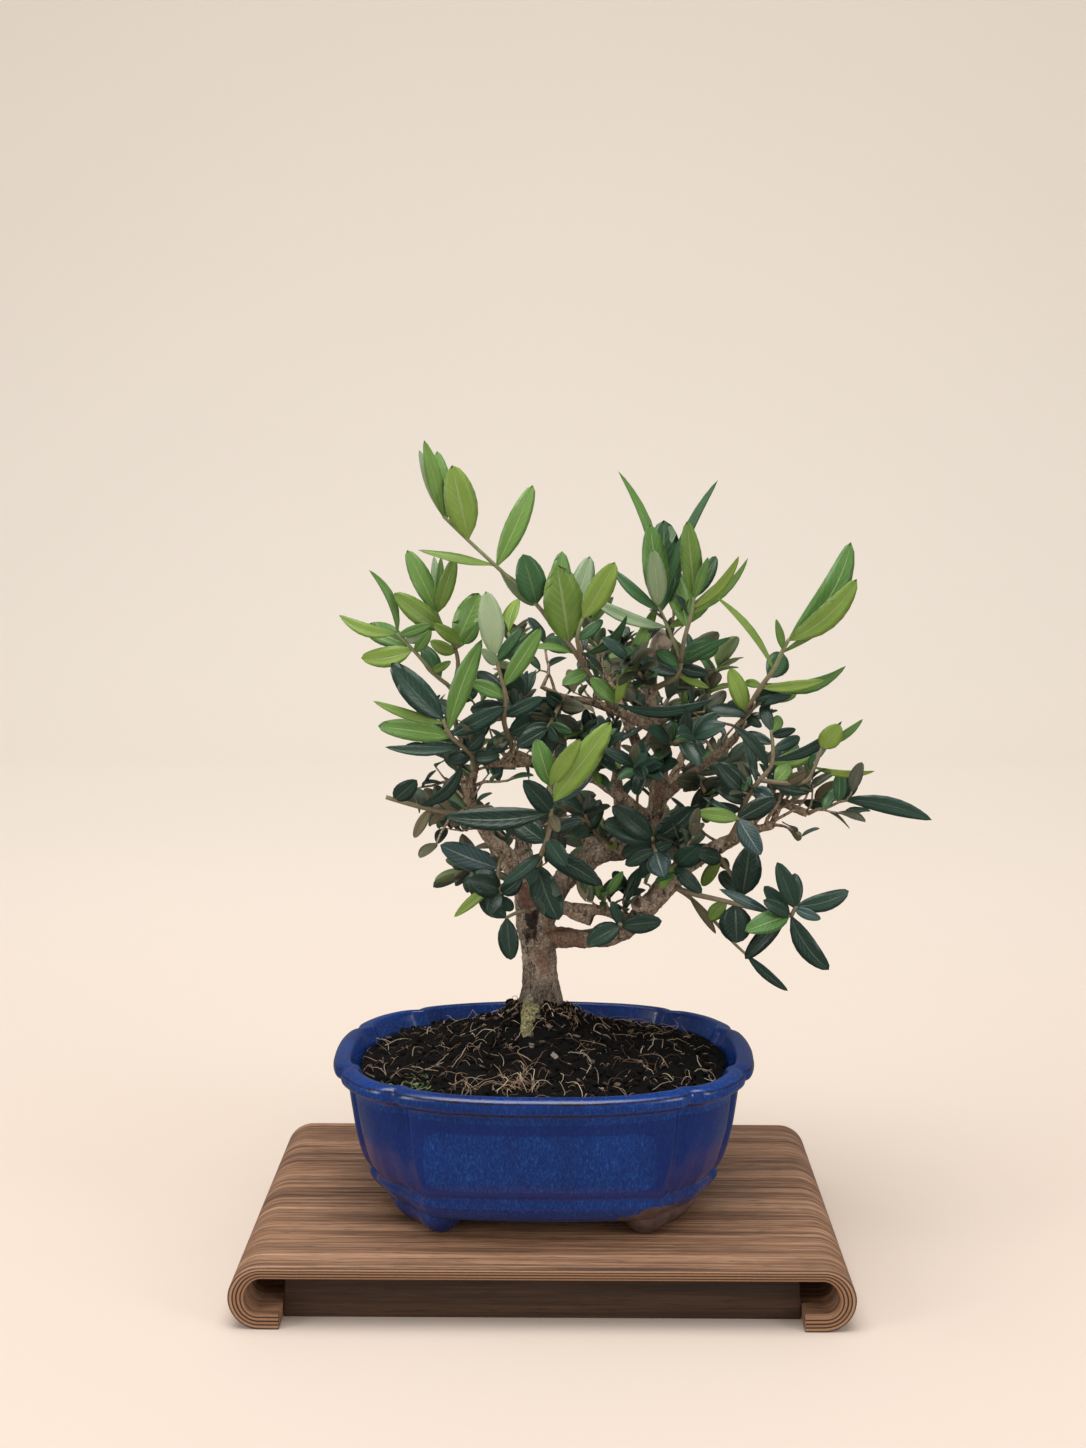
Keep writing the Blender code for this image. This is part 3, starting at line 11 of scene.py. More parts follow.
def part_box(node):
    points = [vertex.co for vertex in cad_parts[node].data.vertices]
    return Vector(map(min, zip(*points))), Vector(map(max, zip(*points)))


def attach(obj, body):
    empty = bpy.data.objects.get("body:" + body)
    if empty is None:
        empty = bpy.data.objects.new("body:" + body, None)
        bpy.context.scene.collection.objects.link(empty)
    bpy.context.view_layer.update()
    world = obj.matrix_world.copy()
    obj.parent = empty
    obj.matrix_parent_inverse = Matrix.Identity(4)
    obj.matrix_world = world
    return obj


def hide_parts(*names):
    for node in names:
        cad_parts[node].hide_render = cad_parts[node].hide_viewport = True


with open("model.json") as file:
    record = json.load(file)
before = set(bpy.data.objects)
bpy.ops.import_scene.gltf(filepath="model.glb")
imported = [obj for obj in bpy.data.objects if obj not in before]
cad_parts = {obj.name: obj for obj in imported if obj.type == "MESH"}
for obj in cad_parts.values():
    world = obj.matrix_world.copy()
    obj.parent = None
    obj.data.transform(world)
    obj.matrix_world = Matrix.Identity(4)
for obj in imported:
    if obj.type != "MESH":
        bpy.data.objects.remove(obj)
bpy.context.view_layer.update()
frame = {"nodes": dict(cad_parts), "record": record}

# The view. The tree is looked at from a little above the rim of its pot. A column and row of
# that view, with a depth behind the middle of the pot in mm, give a place on the tree. Every
# piece is modelled about the middle of the pot, and moved to its place on the stand at the end.
MM = 0.001
pot_low, pot_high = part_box("pot")
pot_middle = (pot_low + pot_high) / 2
pot_middle.z = 0.0
eye = Vector((0.0097, -0.876, 0.3937))
view_pitch = math.radians(8.05)
view_yaw = math.radians(-0.66)
view_focal = 1800.0
view_width = 1086.0
view_height = 1448.0


def seen(column, row, depth):
    """The place, from the pot's middle, that the view shows at a column and row."""
    ahead = Vector((math.sin(view_yaw) * math.cos(view_pitch),
                    math.cos(view_yaw) * math.cos(view_pitch), -math.sin(view_pitch)))
    right = Vector((math.cos(view_yaw), -math.sin(view_yaw), 0.0))
    up = right.cross(ahead)
    ray = (ahead + right * (column - view_width / 2) / view_focal
           + up * (view_height / 2 - row) / view_focal)
    return eye + ray * ((depth * MM - eye.y) / ray.y)


bpy.ops.object.select_all(action="DESELECT")
bpy.ops.object.camera_add(location=eye + pot_middle,
                          rotation=(math.pi / 2 - view_pitch, 0.0, -view_yaw))
camera = bpy.context.object
camera.data.sensor_width = 36.0
camera.data.lens = camera.data.sensor_width * view_focal / view_height
camera.data.clip_start = 0.01
bpy.context.scene.camera = camera


# The floor. A cream paper sweep: flat under the stand, curved up behind it into the wall, so
# that the front view has no horizon. It belongs to the room and not to the tree. The wall part is
# painted lighter than the floor: painted light that makes up for the less light it gets from the lamp above.
def start_material(name, roughness):
    """A new material, its node tree and its shader."""
    material = bpy.data.materials.new(name)
    material.use_nodes = True
    shader = material.node_tree.nodes["Principled BSDF"]
    shader.inputs["Roughness"].default_value = roughness
    return material, material.node_tree, shader


def add_node(tree, kind, **settings):
    """A node of that kind. A setting is a property, or the value of the input of that name."""
    node = tree.nodes.new("ShaderNode" + kind)
    for key, value in settings.items():
        if hasattr(node, key):
            setattr(node, key, value)
        else:
            node.inputs[key.replace("_", " ")].default_value = value
    return node


def place_of(tree, scale=(1.0, 1.0, 1.0), centre=(0.0, 0.0, 0.0)):
    """Object coordinates measured from a centre and stretched, for a pattern to read."""
    where = add_node(tree, "TexCoord")
    moved = add_node(tree, "Mapping", vector_type="TEXTURE")
    moved.inputs["Location"].default_value = centre
    spread = add_node(tree, "Mapping")
    spread.inputs["Scale"].default_value = scale
    tree.links.new(where.outputs["Object"], moved.inputs["Vector"])
    tree.links.new(moved.outputs["Vector"], spread.inputs["Vector"])
    return spread.outputs["Vector"]


def mottle(tree, place, scale, detail=4.0, roughness=0.55, distortion=0.0):
    """Cloudy pattern between 0 and 1."""
    cloud = add_node(tree, "TexNoise", Scale=scale, Detail=detail, Roughness=roughness,
                     Distortion=distortion)
    tree.links.new(place, cloud.inputs["Vector"])
    return cloud.outputs["Fac"]


def stepped(tree, value, stops):
    """Colour ramp: stops are (position, colour or grey)."""
    ramp = add_node(tree, "ValToRGB")
    band = ramp.color_ramp
    while len(band.elements) < len(stops):
        band.elements.new(0.5)
    for element, (position, colour) in zip(band.elements, stops):
        element.position = position
        element.color = (*colour, 1.0) if isinstance(colour, tuple) else (colour, colour, colour, 1.0)
    tree.links.new(value, ramp.inputs["Fac"])
    return ramp.outputs["Color"]


def blended(tree, share, below, above, how="MIX"):
    """Two colours mixed. Share, below and above are each a socket or a value."""
    mix = add_node(tree, "Mix", data_type="RGBA", blend_type=how)
    for value, socket in ((share, mix.inputs[0]), (below, mix.inputs[6]), (above, mix.inputs[7])):
        if isinstance(value, bpy.types.NodeSocket):
            tree.links.new(value, socket)
        elif isinstance(value, tuple):
            socket.default_value = (*value, 1.0)
        else:
            socket.default_value = value
    return mix.outputs[2]


def reckoned(tree, how, first, second=0.0, third=None, clamp=False):
    """A Math node. Each number is a socket or a value."""
    sum_node = add_node(tree, "Math", operation=how, use_clamp=clamp)
    for value, socket in zip((first, second, third), sum_node.inputs):
        if isinstance(value, bpy.types.NodeSocket):
            tree.links.new(value, socket)
        elif value is not None:
            socket.default_value = value
    return sum_node.outputs[0]


def painted(tree, shader, colour=None, roughness=None):
    """Give a shader a colour and a roughness that change over the surface."""
    if colour is not None:
        tree.links.new(colour, shader.inputs["Base Color"])
    if roughness is not None:
        tree.links.new(roughness, shader.inputs["Roughness"])


def embossed(tree, shader, height, distance, strength=1.0):
    """Relief of the surface from a height pattern; distance is its depth in metres."""
    bump = add_node(tree, "Bump", Strength=strength, Distance=distance)
    tree.links.new(height, bump.inputs["Height"])
    tree.links.new(bump.outputs["Normal"], shader.inputs["Normal"])


sweep_material, tree, shader = start_material("cream_sweep", 0.9)
paper = mottle(tree, place_of(tree), 3.0)
parts = add_node(tree, "SeparateXYZ")
tree.links.new(add_node(tree, "TexCoord").outputs["Object"], parts.inputs["Vector"])
to_wall = reckoned(tree, "MULTIPLY_ADD", parts.outputs["Y"], 0.55, -0.05)
risen = stepped(tree, to_wall, ((0.0, 0.0), (0.75, 1.0)))
floor_tone = stepped(tree, paper, ((0.3, (0.655, 0.567, 0.500)), (0.7, (0.662, 0.573, 0.505))))
# Painted light: the wall part of the sweep is painted lighter than the floor part.
wall_painted_light = stepped(tree, paper, ((0.3, (0.925, 0.865, 0.795)), (0.7, (0.932, 0.871, 0.80))))
painted(tree, shader, blended(tree, risen, floor_tone, wall_painted_light))
floor_width = 16.0
floor_length = 10.0
far_edge = 1.5
wall_bend = 1.2
wall_height = 3.0
bpy.ops.object.select_all(action="DESELECT")
bpy.ops.mesh.primitive_plane_add(size=1.0, location=(0.0, far_edge - floor_length / 2, 0.0))
sweep = bpy.context.object
sweep.name = "paper_sweep"
sweep.scale = (floor_width, floor_length, 1.0)
bpy.ops.object.transform_apply(location=True, rotation=False, scale=True)
bpy.ops.object.mode_set(mode="EDIT")
bpy.ops.mesh.select_mode(type="EDGE")
bpy.ops.mesh.select_all(action="DESELECT")
bpy.ops.object.mode_set(mode="OBJECT")
for edge in sweep.data.edges:
    ends = [sweep.data.vertices[i].co.y for i in edge.vertices]
    edge.select = min(ends) > far_edge - 0.001
bpy.ops.object.mode_set(mode="EDIT")
bpy.ops.mesh.spin(steps=24, angle=math.pi / 2, center=(0.0, far_edge, wall_bend), axis=(-1.0, 0.0, 0.0))
bpy.ops.mesh.extrude_region_move(TRANSFORM_OT_translate={"value": (0.0, 0.0, wall_height)})
bpy.ops.mesh.select_all(action="SELECT")
bpy.ops.mesh.remove_doubles(threshold=0.0005)
bpy.ops.object.mode_set(mode="OBJECT")
sweep.data.materials.append(sweep_material)
sweep.data.shade_smooth()
sweep.visible_glossy = False


# The light. A pale room with a wide soft light above, and a window on each side that shows as
# a bright patch on the glaze. The rest of the room is dim in reflections, so that dark leaves,
# peat and glaze stay deep.
def soft_light(name, place, target, width, height, power, colour):
    """An oblong lamp at a place, which shines at a target."""
    way = Vector(target) - Vector(place)
    bpy.ops.object.light_add(type="AREA", location=place, rotation=way.to_track_quat("-Z", "Y").to_euler())
    lamp = bpy.context.object
    lamp.name = name
    lamp.data.shape = "RECTANGLE"
    lamp.data.size = width
    lamp.data.size_y = height
    lamp.data.energy = power
    lamp.data.color = colour


bpy.ops.object.select_all(action="DESELECT")
soft_light("light_above", (-0.12, -0.25, 1.9), (0.0, 0.0, 0.15), 1.5, 1.2, 30.0, (1.0, 0.97, 0.93))
soft_light("window_left", (-1.3, -0.75, 0.62), (0.0, 0.0, 0.10), 0.40, 0.75, 5.5, (1.0, 0.99, 0.98))
soft_light("window_right", (1.25, -0.95, 0.62), (0.0, 0.0, 0.10), 0.42, 0.75, 5.0, (0.98, 0.99, 1.0))
room_strength = 0.66
room_in_reflections = 0.16
room = bpy.data.worlds.new("pale_room")
room.use_nodes = True
backdrop = room.node_tree.nodes["Background"]
backdrop.inputs["Color"].default_value = (1.0, 0.955, 0.905, 1.0)
rays = room.node_tree.nodes.new("ShaderNodeLightPath")
dimmed = room.node_tree.nodes.new("ShaderNodeMath")
dimmed.operation = "MULTIPLY_ADD"
dimmed.inputs[1].default_value = room_in_reflections - room_strength
dimmed.inputs[2].default_value = room_strength
room.node_tree.links.new(rays.outputs["Is Glossy Ray"], dimmed.inputs[0])
room.node_tree.links.new(dimmed.outputs[0], backdrop.inputs["Strength"])
bpy.context.scene.world = room
bpy.context.scene.view_settings.view_transform = "Standard"


# The stand's board. One sheet of plywood with a walnut face, bent under at both ends into a
# curl that ends in a thicker foot. The plies show as light and dark lines all along its edge.
def hand_over(piece, name, finish, slot, *nodes):
    """Settle a finished piece on its place on the stand, and let it stand for its solids."""
    piece.name = name
    piece.data.name = name
    piece.data.transform(Matrix.Translation(pot_middle))
    piece.data.materials.clear()
    piece.data.materials.append(finish)
    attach(piece, "root")
    if nodes:
        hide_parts(*nodes)


def apply_all(piece):
    """Apply every modifier of a piece, in order."""
    bpy.ops.object.select_all(action="DESELECT")
    piece.select_set(True)
    bpy.context.view_layer.objects.active = piece
    for modifier in list(piece.modifiers):
        bpy.ops.object.modifier_apply(modifier=modifier.name)


def point_values(piece, name, values):
    """A number at each vertex, which the piece's material reads by name."""
    layer = piece.data.attributes.new(name, "FLOAT", "POINT")
    layer.data.foreach_set("value", np.asarray(values, dtype=np.float32))


def places_of(piece):
    """The vertices of a piece as an array."""
    flat = np.empty(len(piece.data.vertices) * 3, dtype=np.float32)
    piece.data.vertices.foreach_get("co", flat)
    return flat.reshape(-1, 3).astype(float)


def move_to(piece, places):
    """Set the vertices of a piece to an array of places."""
    piece.data.vertices.foreach_set("co", np.asarray(places, dtype=np.float32).ravel())
    piece.data.update()


stand_low, stand_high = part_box("stand_board")
stand_top = stand_high.z
stand_half = (stand_high.x - stand_low.x) / 2
stand_depth = stand_high.y - stand_low.y
board_thickness = 5.5 * MM
curl_radius = 15.0 * MM
curl_thickness = 7.6 * MM
curl_tip_in = 23.5 * MM
curl_x = stand_half - curl_radius
curl_z = stand_top - curl_radius
tip_x = stand_half - curl_tip_in
bpy.ops.object.select_all(action="DESELECT")
bpy.ops.mesh.primitive_cube_add(size=1.0, location=(curl_x / 2, 0.0, stand_top - board_thickness / 2))
board = bpy.context.object
board.scale = (curl_x, stand_depth, board_thickness)
bpy.ops.object.transform_apply(location=True, rotation=False, scale=True)
bpy.ops.object.mode_set(mode="EDIT")
bpy.ops.mesh.select_mode(type="FACE")
bpy.ops.mesh.select_all(action="DESELECT")
bpy.ops.object.mode_set(mode="OBJECT")
for face in board.data.polygons:
    face.select = abs(face.normal.x) > 0.9
bpy.ops.object.mode_set(mode="EDIT")
bpy.ops.mesh.delete(type="ONLY_FACE")
bpy.ops.object.mode_set(mode="OBJECT")
for edge in board.data.edges:
    edge.select = min(board.data.vertices[i].co.x for i in edge.vertices) > curl_x - 0.1 * MM
bpy.ops.object.mode_set(mode="EDIT")
bpy.ops.mesh.select_mode(type="EDGE")
bpy.ops.mesh.spin(steps=32, angle=-math.pi, center=(curl_x, 0.0, curl_z), axis=(0.0, 1.0, 0.0))
bpy.ops.mesh.extrude_region_move(TRANSFORM_OT_translate={"value": (-curl_tip_in, 0.0, 0.0)})
bpy.ops.object.mode_set(mode="OBJECT")
places = places_of(board)
for place in places:
    x, y, z = place
    reach = math.hypot(x - curl_x, z - curl_z)
    around = math.atan2(z - curl_z, x - curl_x)
    if x < curl_x - 0.1 * MM and z < curl_z:
        place[0] = tip_x
    if x > curl_x - 0.1 * MM and reach < curl_radius - 0.5 * board_thickness:
        inner = curl_radius - curl_thickness
        share = (around + math.pi / 2) / math.pi
        tall = inner + (curl_thickness - board_thickness) * min(max(share, 0.0), 1.0)
        place[0] = curl_x + inner * math.cos(around)
        place[2] = curl_z + tall * math.sin(around)
    elif x < curl_x - 0.1 * MM and 0.5 * MM < z < curl_z:
        place[2] = curl_thickness
move_to(board, places)
bpy.ops.object.mode_set(mode="EDIT")
bpy.ops.mesh.edge_face_add()
bpy.ops.object.mode_set(mode="OBJECT")
half_twin = board.modifiers.new("other_half", "MIRROR")
half_twin.use_axis = (True, False, False)
half_twin.merge_threshold = 0.00005
apply_all(board)
bpy.ops.object.mode_set(mode="EDIT")
bpy.ops.mesh.select_all(action="SELECT")
bpy.ops.mesh.remove_doubles(threshold=0.00002)
bpy.ops.mesh.normals_make_consistent(inside=False)
bpy.ops.object.mode_set(mode="OBJECT")
ply = []
run = []
for x, y, z in places_of(board):
    across = abs(x)
    turn = math.pi / 2 - math.atan2(z - curl_z, across - curl_x)
    reach = math.hypot(across - curl_x, z - curl_z)
    if across < curl_x + 0.05 * MM and z > curl_z:
        ply.append(1.0 if z > stand_top - 0.5 * board_thickness else 0.0)
        along = across
    elif across < curl_x - 0.05 * MM:
        ply.append(1.0 if z < 0.5 * curl_thickness else 0.0)
        along = curl_x + curl_radius * math.pi + curl_x - across
    else:
        ply.append(1.0 if reach > curl_radius - 0.3 * curl_thickness else 0.0)
        along = curl_x + curl_radius * turn
    run.append(math.copysign(along, x))
point_values(board, "ply", ply)
point_values(board, "run", run)
eased = board.modifiers.new("eased_edges", "BEVEL")
eased.width = 0.45 * MM
eased.segments = 2
eased.limit_method = "ANGLE"
eased.angle_limit = math.radians(50)
apply_all(board)
board.data.shade_smooth()
board.data.set_sharp_from_angle(angle=math.radians(40))

# Wood grain, for the board and the aprons: long soft bands, dark pores and a fine fibre.
grain = bpy.data.node_groups.new("wood_grain", "ShaderNodeTree")
grain.interface.new_socket(name="Place", in_out="INPUT", socket_type="NodeSocketVector")
grain.interface.new_socket(name="Dark", in_out="INPUT", socket_type="NodeSocketColor")
grain.interface.new_socket(name="Middle", in_out="INPUT", socket_type="NodeSocketColor")
grain.interface.new_socket(name="Light", in_out="INPUT", socket_type="NodeSocketColor")
grain.interface.new_socket(name="Color", in_out="OUTPUT", socket_type="NodeSocketColor")
grain.interface.new_socket(name="Height", in_out="OUTPUT", socket_type="NodeSocketFloat")
grain_in = grain.nodes.new("NodeGroupInput")
grain_out = grain.nodes.new("NodeGroupOutput")


def stretched(tree, place, scale):
    """A place stretched by a scale along each axis."""
    spread = add_node(tree, "Mapping")
    spread.inputs["Scale"].default_value = scale
    tree.links.new(place, spread.inputs["Vector"])
    return spread.outputs["Vector"]


bands = mottle(grain, stretched(grain, grain_in.outputs["Place"], (4.0, 120.0, 120.0)), 1.0, 3.0, 0.6, 0.5)
streaks = mottle(grain, stretched(grain, grain_in.outputs["Place"], (14.0, 640.0, 640.0)), 1.0, 3.0, 0.7)
pores = mottle(grain, stretched(grain, grain_in.outputs["Place"], (70.0, 1500.0, 1500.0)), 1.0, 2.0, 0.6)
both = reckoned(grain, "ADD", reckoned(grain, "MULTIPLY", bands, 0.45),
                reckoned(grain, "MULTIPLY", streaks, 0.55))
low_tone = stepped(grain, both, ((0.36, 0.0), (0.52, 1.0)))
high_tone = stepped(grain, both, ((0.50, 0.0), (0.66, 1.0)))
wood = blended(grain, low_tone, grain_in.outputs["Dark"], grain_in.outputs["Middle"])
wood = blended(grain, high_tone, wood, grain_in.outputs["Light"])
pore_mask = stepped(grain, pores, ((0.33, 1.0), (0.43, 0.0)))
wood = blended(grain, reckoned(grain, "MULTIPLY", pore_mask, 0.75), wood, grain_in.outputs["Dark"])
grain.links.new(wood, grain_out.inputs["Color"])
fall = reckoned(grain, "SUBTRACT", both, reckoned(grain, "MULTIPLY", pore_mask, 0.5))
grain.links.new(fall, grain_out.inputs["Height"])


def grained(tree, place, dark, middle, light):
    """The wood grain group placed in a material with its three tones."""
    group = tree.nodes.new("ShaderNodeGroup")
    group.node_tree = grain
    for name, tone in (("Dark", dark), ("Middle", middle), ("Light", light)):
        group.inputs[name].default_value = (*tone, 1.0)
    tree.links.new(place, group.inputs["Place"])
    return group.outputs["Color"], group.outputs["Height"]


walnut, tree, shader = start_material("oiled_walnut_ply", 0.5)
run_value = add_node(tree, "Attribute", attribute_name="run").outputs["Fac"]
ply_value = add_node(tree, "Attribute", attribute_name="ply").outputs["Fac"]
object_place = add_node(tree, "TexCoord")
parts = add_node(tree, "SeparateXYZ")
tree.links.new(object_place.outputs["Object"], parts.inputs["Vector"])
laid = add_node(tree, "CombineXYZ")
tree.links.new(run_value, laid.inputs["X"])
tree.links.new(parts.outputs["Y"], laid.inputs["Y"])
tree.links.new(reckoned(tree, "MULTIPLY", ply_value, 0.004), laid.inputs["Z"])
face_wood, face_height = grained(tree, laid.outputs["Vector"], (0.066, 0.031, 0.017),
                                 (0.268, 0.142, 0.080), (0.455, 0.270, 0.165))
wander = mottle(tree, stretched(tree, laid.outputs["Vector"], (60.0, 8.0, 8.0)), 1.0, 3.0)
layer = reckoned(tree, "ADD", ply_value, reckoned(tree, "MULTIPLY", wander, 0.06))
layers = stepped(tree, layer, (
    (0.02, (0.04, 0.018, 0.010)), (0.08, (0.36, 0.18, 0.09)), (0.19, (0.36, 0.18, 0.09)),
    (0.22, (0.025, 0.011, 0.006)), (0.28, (0.025, 0.011, 0.006)), (0.31, (0.40, 0.20, 0.10)),
    (0.43, (0.38, 0.19, 0.095)), (0.46, (0.025, 0.011, 0.006)), (0.53, (0.03, 0.013, 0.007)),
    (0.56, (0.36, 0.18, 0.09)), (0.67, (0.38, 0.20, 0.10)), (0.70, (0.03, 0.013, 0.007)),
    (0.76, (0.03, 0.013, 0.007)), (0.79, (0.46, 0.26, 0.145)), (0.90, (0.48, 0.28, 0.16)),
    (0.94, (0.12, 0.06, 0.034)), (1.0, (0.09, 0.045, 0.026))))
cut_fibre = mottle(tree, stretched(tree, laid.outputs["Vector"], (700.0, 60.0, 900.0)), 1.0, 2.0)
layers = blended(tree, reckoned(tree, "MULTIPLY", cut_fibre, 0.45), layers, (0.10, 0.05, 0.03))
turned = add_node(tree, "SeparateXYZ")
tree.links.new(object_place.outputs["Normal"], turned.inputs["Vector"])
is_edge = reckoned(tree, "GREATER_THAN", reckoned(tree, "ABSOLUTE", turned.outputs["Y"]), 0.55)
painted(tree, shader, blended(tree, is_edge, face_wood, layers),
        reckoned(tree, "MULTIPLY_ADD", face_height, -0.18, 0.58))
embossed(tree, shader, face_height, 0.00025, 0.6)
hand_over(board, "bent_board", walnut, "walnut", "stand_board")


# The aprons. A dark board stands on edge between the curls behind each long edge of
# the stand; its ends lean in a little at the top.
dark_apron_finish, tree, shader = start_material("dark_apron_walnut", 0.6)
apron_wood, apron_height = grained(tree, place_of(tree), (0.036, 0.017, 0.008),
                                   (0.066, 0.031, 0.015), (0.10, 0.050, 0.025))
painted(tree, shader, apron_wood)
embossed(tree, shader, apron_height, 0.0001, 0.4)
for node, name in (("stand_apron_front", "front_apron"), ("stand_apron_back", "back_apron")):
    low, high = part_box(node)
    low -= pot_middle
    high -= pot_middle
    bpy.ops.object.select_all(action="DESELECT")
    bpy.ops.mesh.primitive_cube_add(size=1.0, location=(low + high) / 2)
    apron = bpy.context.object
    apron.scale = high - low
    bpy.ops.object.transform_apply(location=True, rotation=False, scale=True)
    places = places_of(apron)
    places[places[:, 2] > low.z + 1.0 * MM, 0] *= 1 - 1.2 * MM / high.x
    move_to(apron, places)
    eased = apron.modifiers.new("eased_edges", "BEVEL")
    eased.width = 0.5 * MM
    eased.segments = 2
    apply_all(apron)
    apron.data.shade_smooth()
    apron.data.set_sharp_from_angle(angle=math.radians(40))
    hand_over(apron, name, dark_apron_finish, "dark_walnut", node)


# The pot. Lobed stoneware with a rolled lip, a wall that draws in to a low skirt, and four
# bracket feet. It is dipped in cobalt glaze, which breaks brown on its thin edges. The dark band
# just under the lip is painted shade of its overhang, and its front panel has a painted reflection.
pot_half_width = (pot_high.x - pot_low.x) / 2
pot_half_depth = 80.5 * MM
pot_height = pot_high.z - stand_top
corner_power = 2.5
lobe_half_width = 67.0 * MM
side_lobe_half_depth = 26.0 * MM
lobe_step = 15.0 * MM


def smooth_step(value):
    """A number from 0 to 1 that eases in and out."""
    value = min(max(value, 0.0), 1.0)
    return value * value * (3 - 2 * value)


def pot_outline(angle):
    """The wall's plan: an oval with a flat panel on each side and a lobe at each corner."""
    cosine = math.cos(angle)
    sine = math.sin(angle)
    x = pot_half_width * math.copysign(abs(cosine) ** (2 / corner_power), cosine)
    y = pot_half_depth * math.copysign(abs(sine) ** (2 / corner_power), sine)
    flatness = 1 - smooth_step((abs(x) - lobe_half_width) / lobe_step)
    panel = pot_half_depth - 3.5 * MM * (x / lobe_half_width) ** 2
    y += (math.copysign(panel, y) - y) * flatness * (abs(sine) > 0.3)
    flatness = 1 - smooth_step((abs(y) - side_lobe_half_depth) / lobe_step)
    panel = pot_half_width - 1.0 * MM * (y / side_lobe_half_depth) ** 2
    x += (math.copysign(panel, x) - x) * flatness * (abs(cosine) > 0.3)
    return x, y


def oval_outline(angle):
    """The lip's plan: the same oval, its long sides bowed and not flat."""
    cosine = math.cos(angle)
    sine = math.sin(angle)
    x = pot_half_width * math.copysign(abs(cosine) ** (2 / corner_power), cosine)
    y = pot_half_depth * math.copysign(abs(sine) ** (2 / corner_power), sine)
    return x, y


def rim_places(count):
    """Angles spread evenly along the rim."""
    tries = 4000
    fine = [pot_outline(2 * math.pi * i / tries) for i in range(tries)]
    travelled = [0.0]
    for i in range(tries):
        after = fine[(i + 1) % tries]
        travelled.append(travelled[-1] + math.hypot(after[0] - fine[i][0], after[1] - fine[i][1]))
    chosen = []
    k = 0
    for i in range(count):
        while travelled[k + 1] < travelled[-1] * i / count:
            k += 1
        chosen.append(2 * math.pi * k / tries)
    return chosen


# Height, share of the outline, and brownness of the glaze with painted shade, from the floor inside
# up over the lip and down the outside to the underside. The brownness just under the lip, at heights
# 67.8 and 66.6, is painted shade of its overhang; elsewhere it is the glaze breaking brown.
pot_profile = (
    (17.2, 0.690, 0.2), (24.0, 0.765, 0.0), (40.0, 0.830, 0.0), (64.0, 0.868, 0.0), (71.5, 0.902, 0.1),
    (75.0, 0.917, 0.25), (75.9, 0.932, 0.0), (75.8, 0.956, 0.0), (75.0, 0.980, 0.1),
    (73.9, 0.994, 0.85), (72.2, 1.000, 0.1), (70.4, 0.998, 0.0), (68.8, 0.990, 0.0),
    (67.8, 0.972, 0.55), (66.6, 0.948, 0.95), (65.0, 0.936, 0.15), (62.0, 0.931, 0.0),
    (57.0, 0.925, 0.0), (50.0, 0.915, 0.0), (42.0, 0.901, 0.0), (33.5, 0.880, 0.0),
    (27.0, 0.858, 0.0), (23.6, 0.840, 0.0), (22.0, 0.830, 0.15), (20.8, 0.827, 0.12),
    (19.4, 0.830, 0.05), (18.0, 0.830, 0.0), (15.6, 0.820, 0.0), (12.5, 0.797, 0.0),
    (10.2, 0.776, 0.2), (8.8, 0.750, 0.8), (8.7, 0.700, 1.0))


def eased_between(stops, steps):
    """A smooth row of stops through the given ones."""
    eased = []
    for i in range(len(stops) - 1):
        near = [np.array(stops[min(max(i + k, 0), len(stops) - 1)]) for k in (-1, 0, 1, 2)]
        for step in range(steps):
            t = step / steps
            eased.append(0.5 * (2 * near[1] + (near[2] - near[0]) * t
                                + (2 * near[0] - 5 * near[1] + 4 * near[2] - near[3]) * t * t
                                + (3 * near[1] - near[0] - 3 * near[2] + near[3]) * t ** 3))
    eased.append(np.array(stops[-1]))
    return eased


pot_levels = eased_between(pot_profile, 2)
rim_angles = rim_places(480)
rim = [pot_outline(angle) for angle in rim_angles]
lip = [oval_outline(angle) for angle in rim_angles]
bpy.ops.object.select_all(action="DESELECT")
bpy.ops.mesh.primitive_circle_add(vertices=len(rim), radius=1.0,
                                  location=(0.0, 0.0, stand_top + pot_levels[0][0] * MM))
pot = bpy.context.object
bpy.ops.object.transform_apply(location=True, rotation=False, scale=True)
places = places_of(pot)
for i, (x, y) in enumerate(rim):
    places[i, 0] = x * pot_levels[0][1]
    places[i, 1] = y * pot_levels[0][1]
move_to(pot, places)
bpy.ops.object.mode_set(mode="EDIT")
bpy.ops.mesh.select_all(action="SELECT")
for before, after in zip(pot_levels, pot_levels[1:]):
    share = after[1] / before[1]
    bpy.ops.mesh.extrude_edges_move(TRANSFORM_OT_translate={
        "value": (0.0, 0.0, (after[0] - before[0]) * MM)})
    bpy.ops.transform.resize(value=(share, share, 1.0), center_override=(0.0, 0.0, 0.0))
for share in (0.7, 0.5):
    bpy.ops.mesh.extrude_edges_move(TRANSFORM_OT_translate={"value": (0.0, 0.0, 0.0)})
    bpy.ops.transform.resize(value=(share, share, 1.0), center_override=(0.0, 0.0, 0.0))
bpy.ops.mesh.edge_face_add()
bpy.ops.mesh.select_mode(type="VERT")
bpy.ops.mesh.select_all(action="DESELECT")
bpy.ops.object.mode_set(mode="OBJECT")
for vertex in pot.data.vertices:
    vertex.select = vertex.index < len(rim)
bpy.ops.object.mode_set(mode="EDIT")
bpy.ops.mesh.edge_face_add()
bpy.ops.mesh.select_all(action="SELECT")
bpy.ops.mesh.normals_make_consistent(inside=False)
bpy.ops.object.mode_set(mode="OBJECT")
levels = len(pot_levels)
long_side_groove = 72.0 * MM
short_side_groove = 34.0 * MM
lobe_crown = 86.0 * MM
groove_width = 3.4 * MM
lobe_width = 9.0 * MM
brownness_and_shade = []
places = places_of(pot)
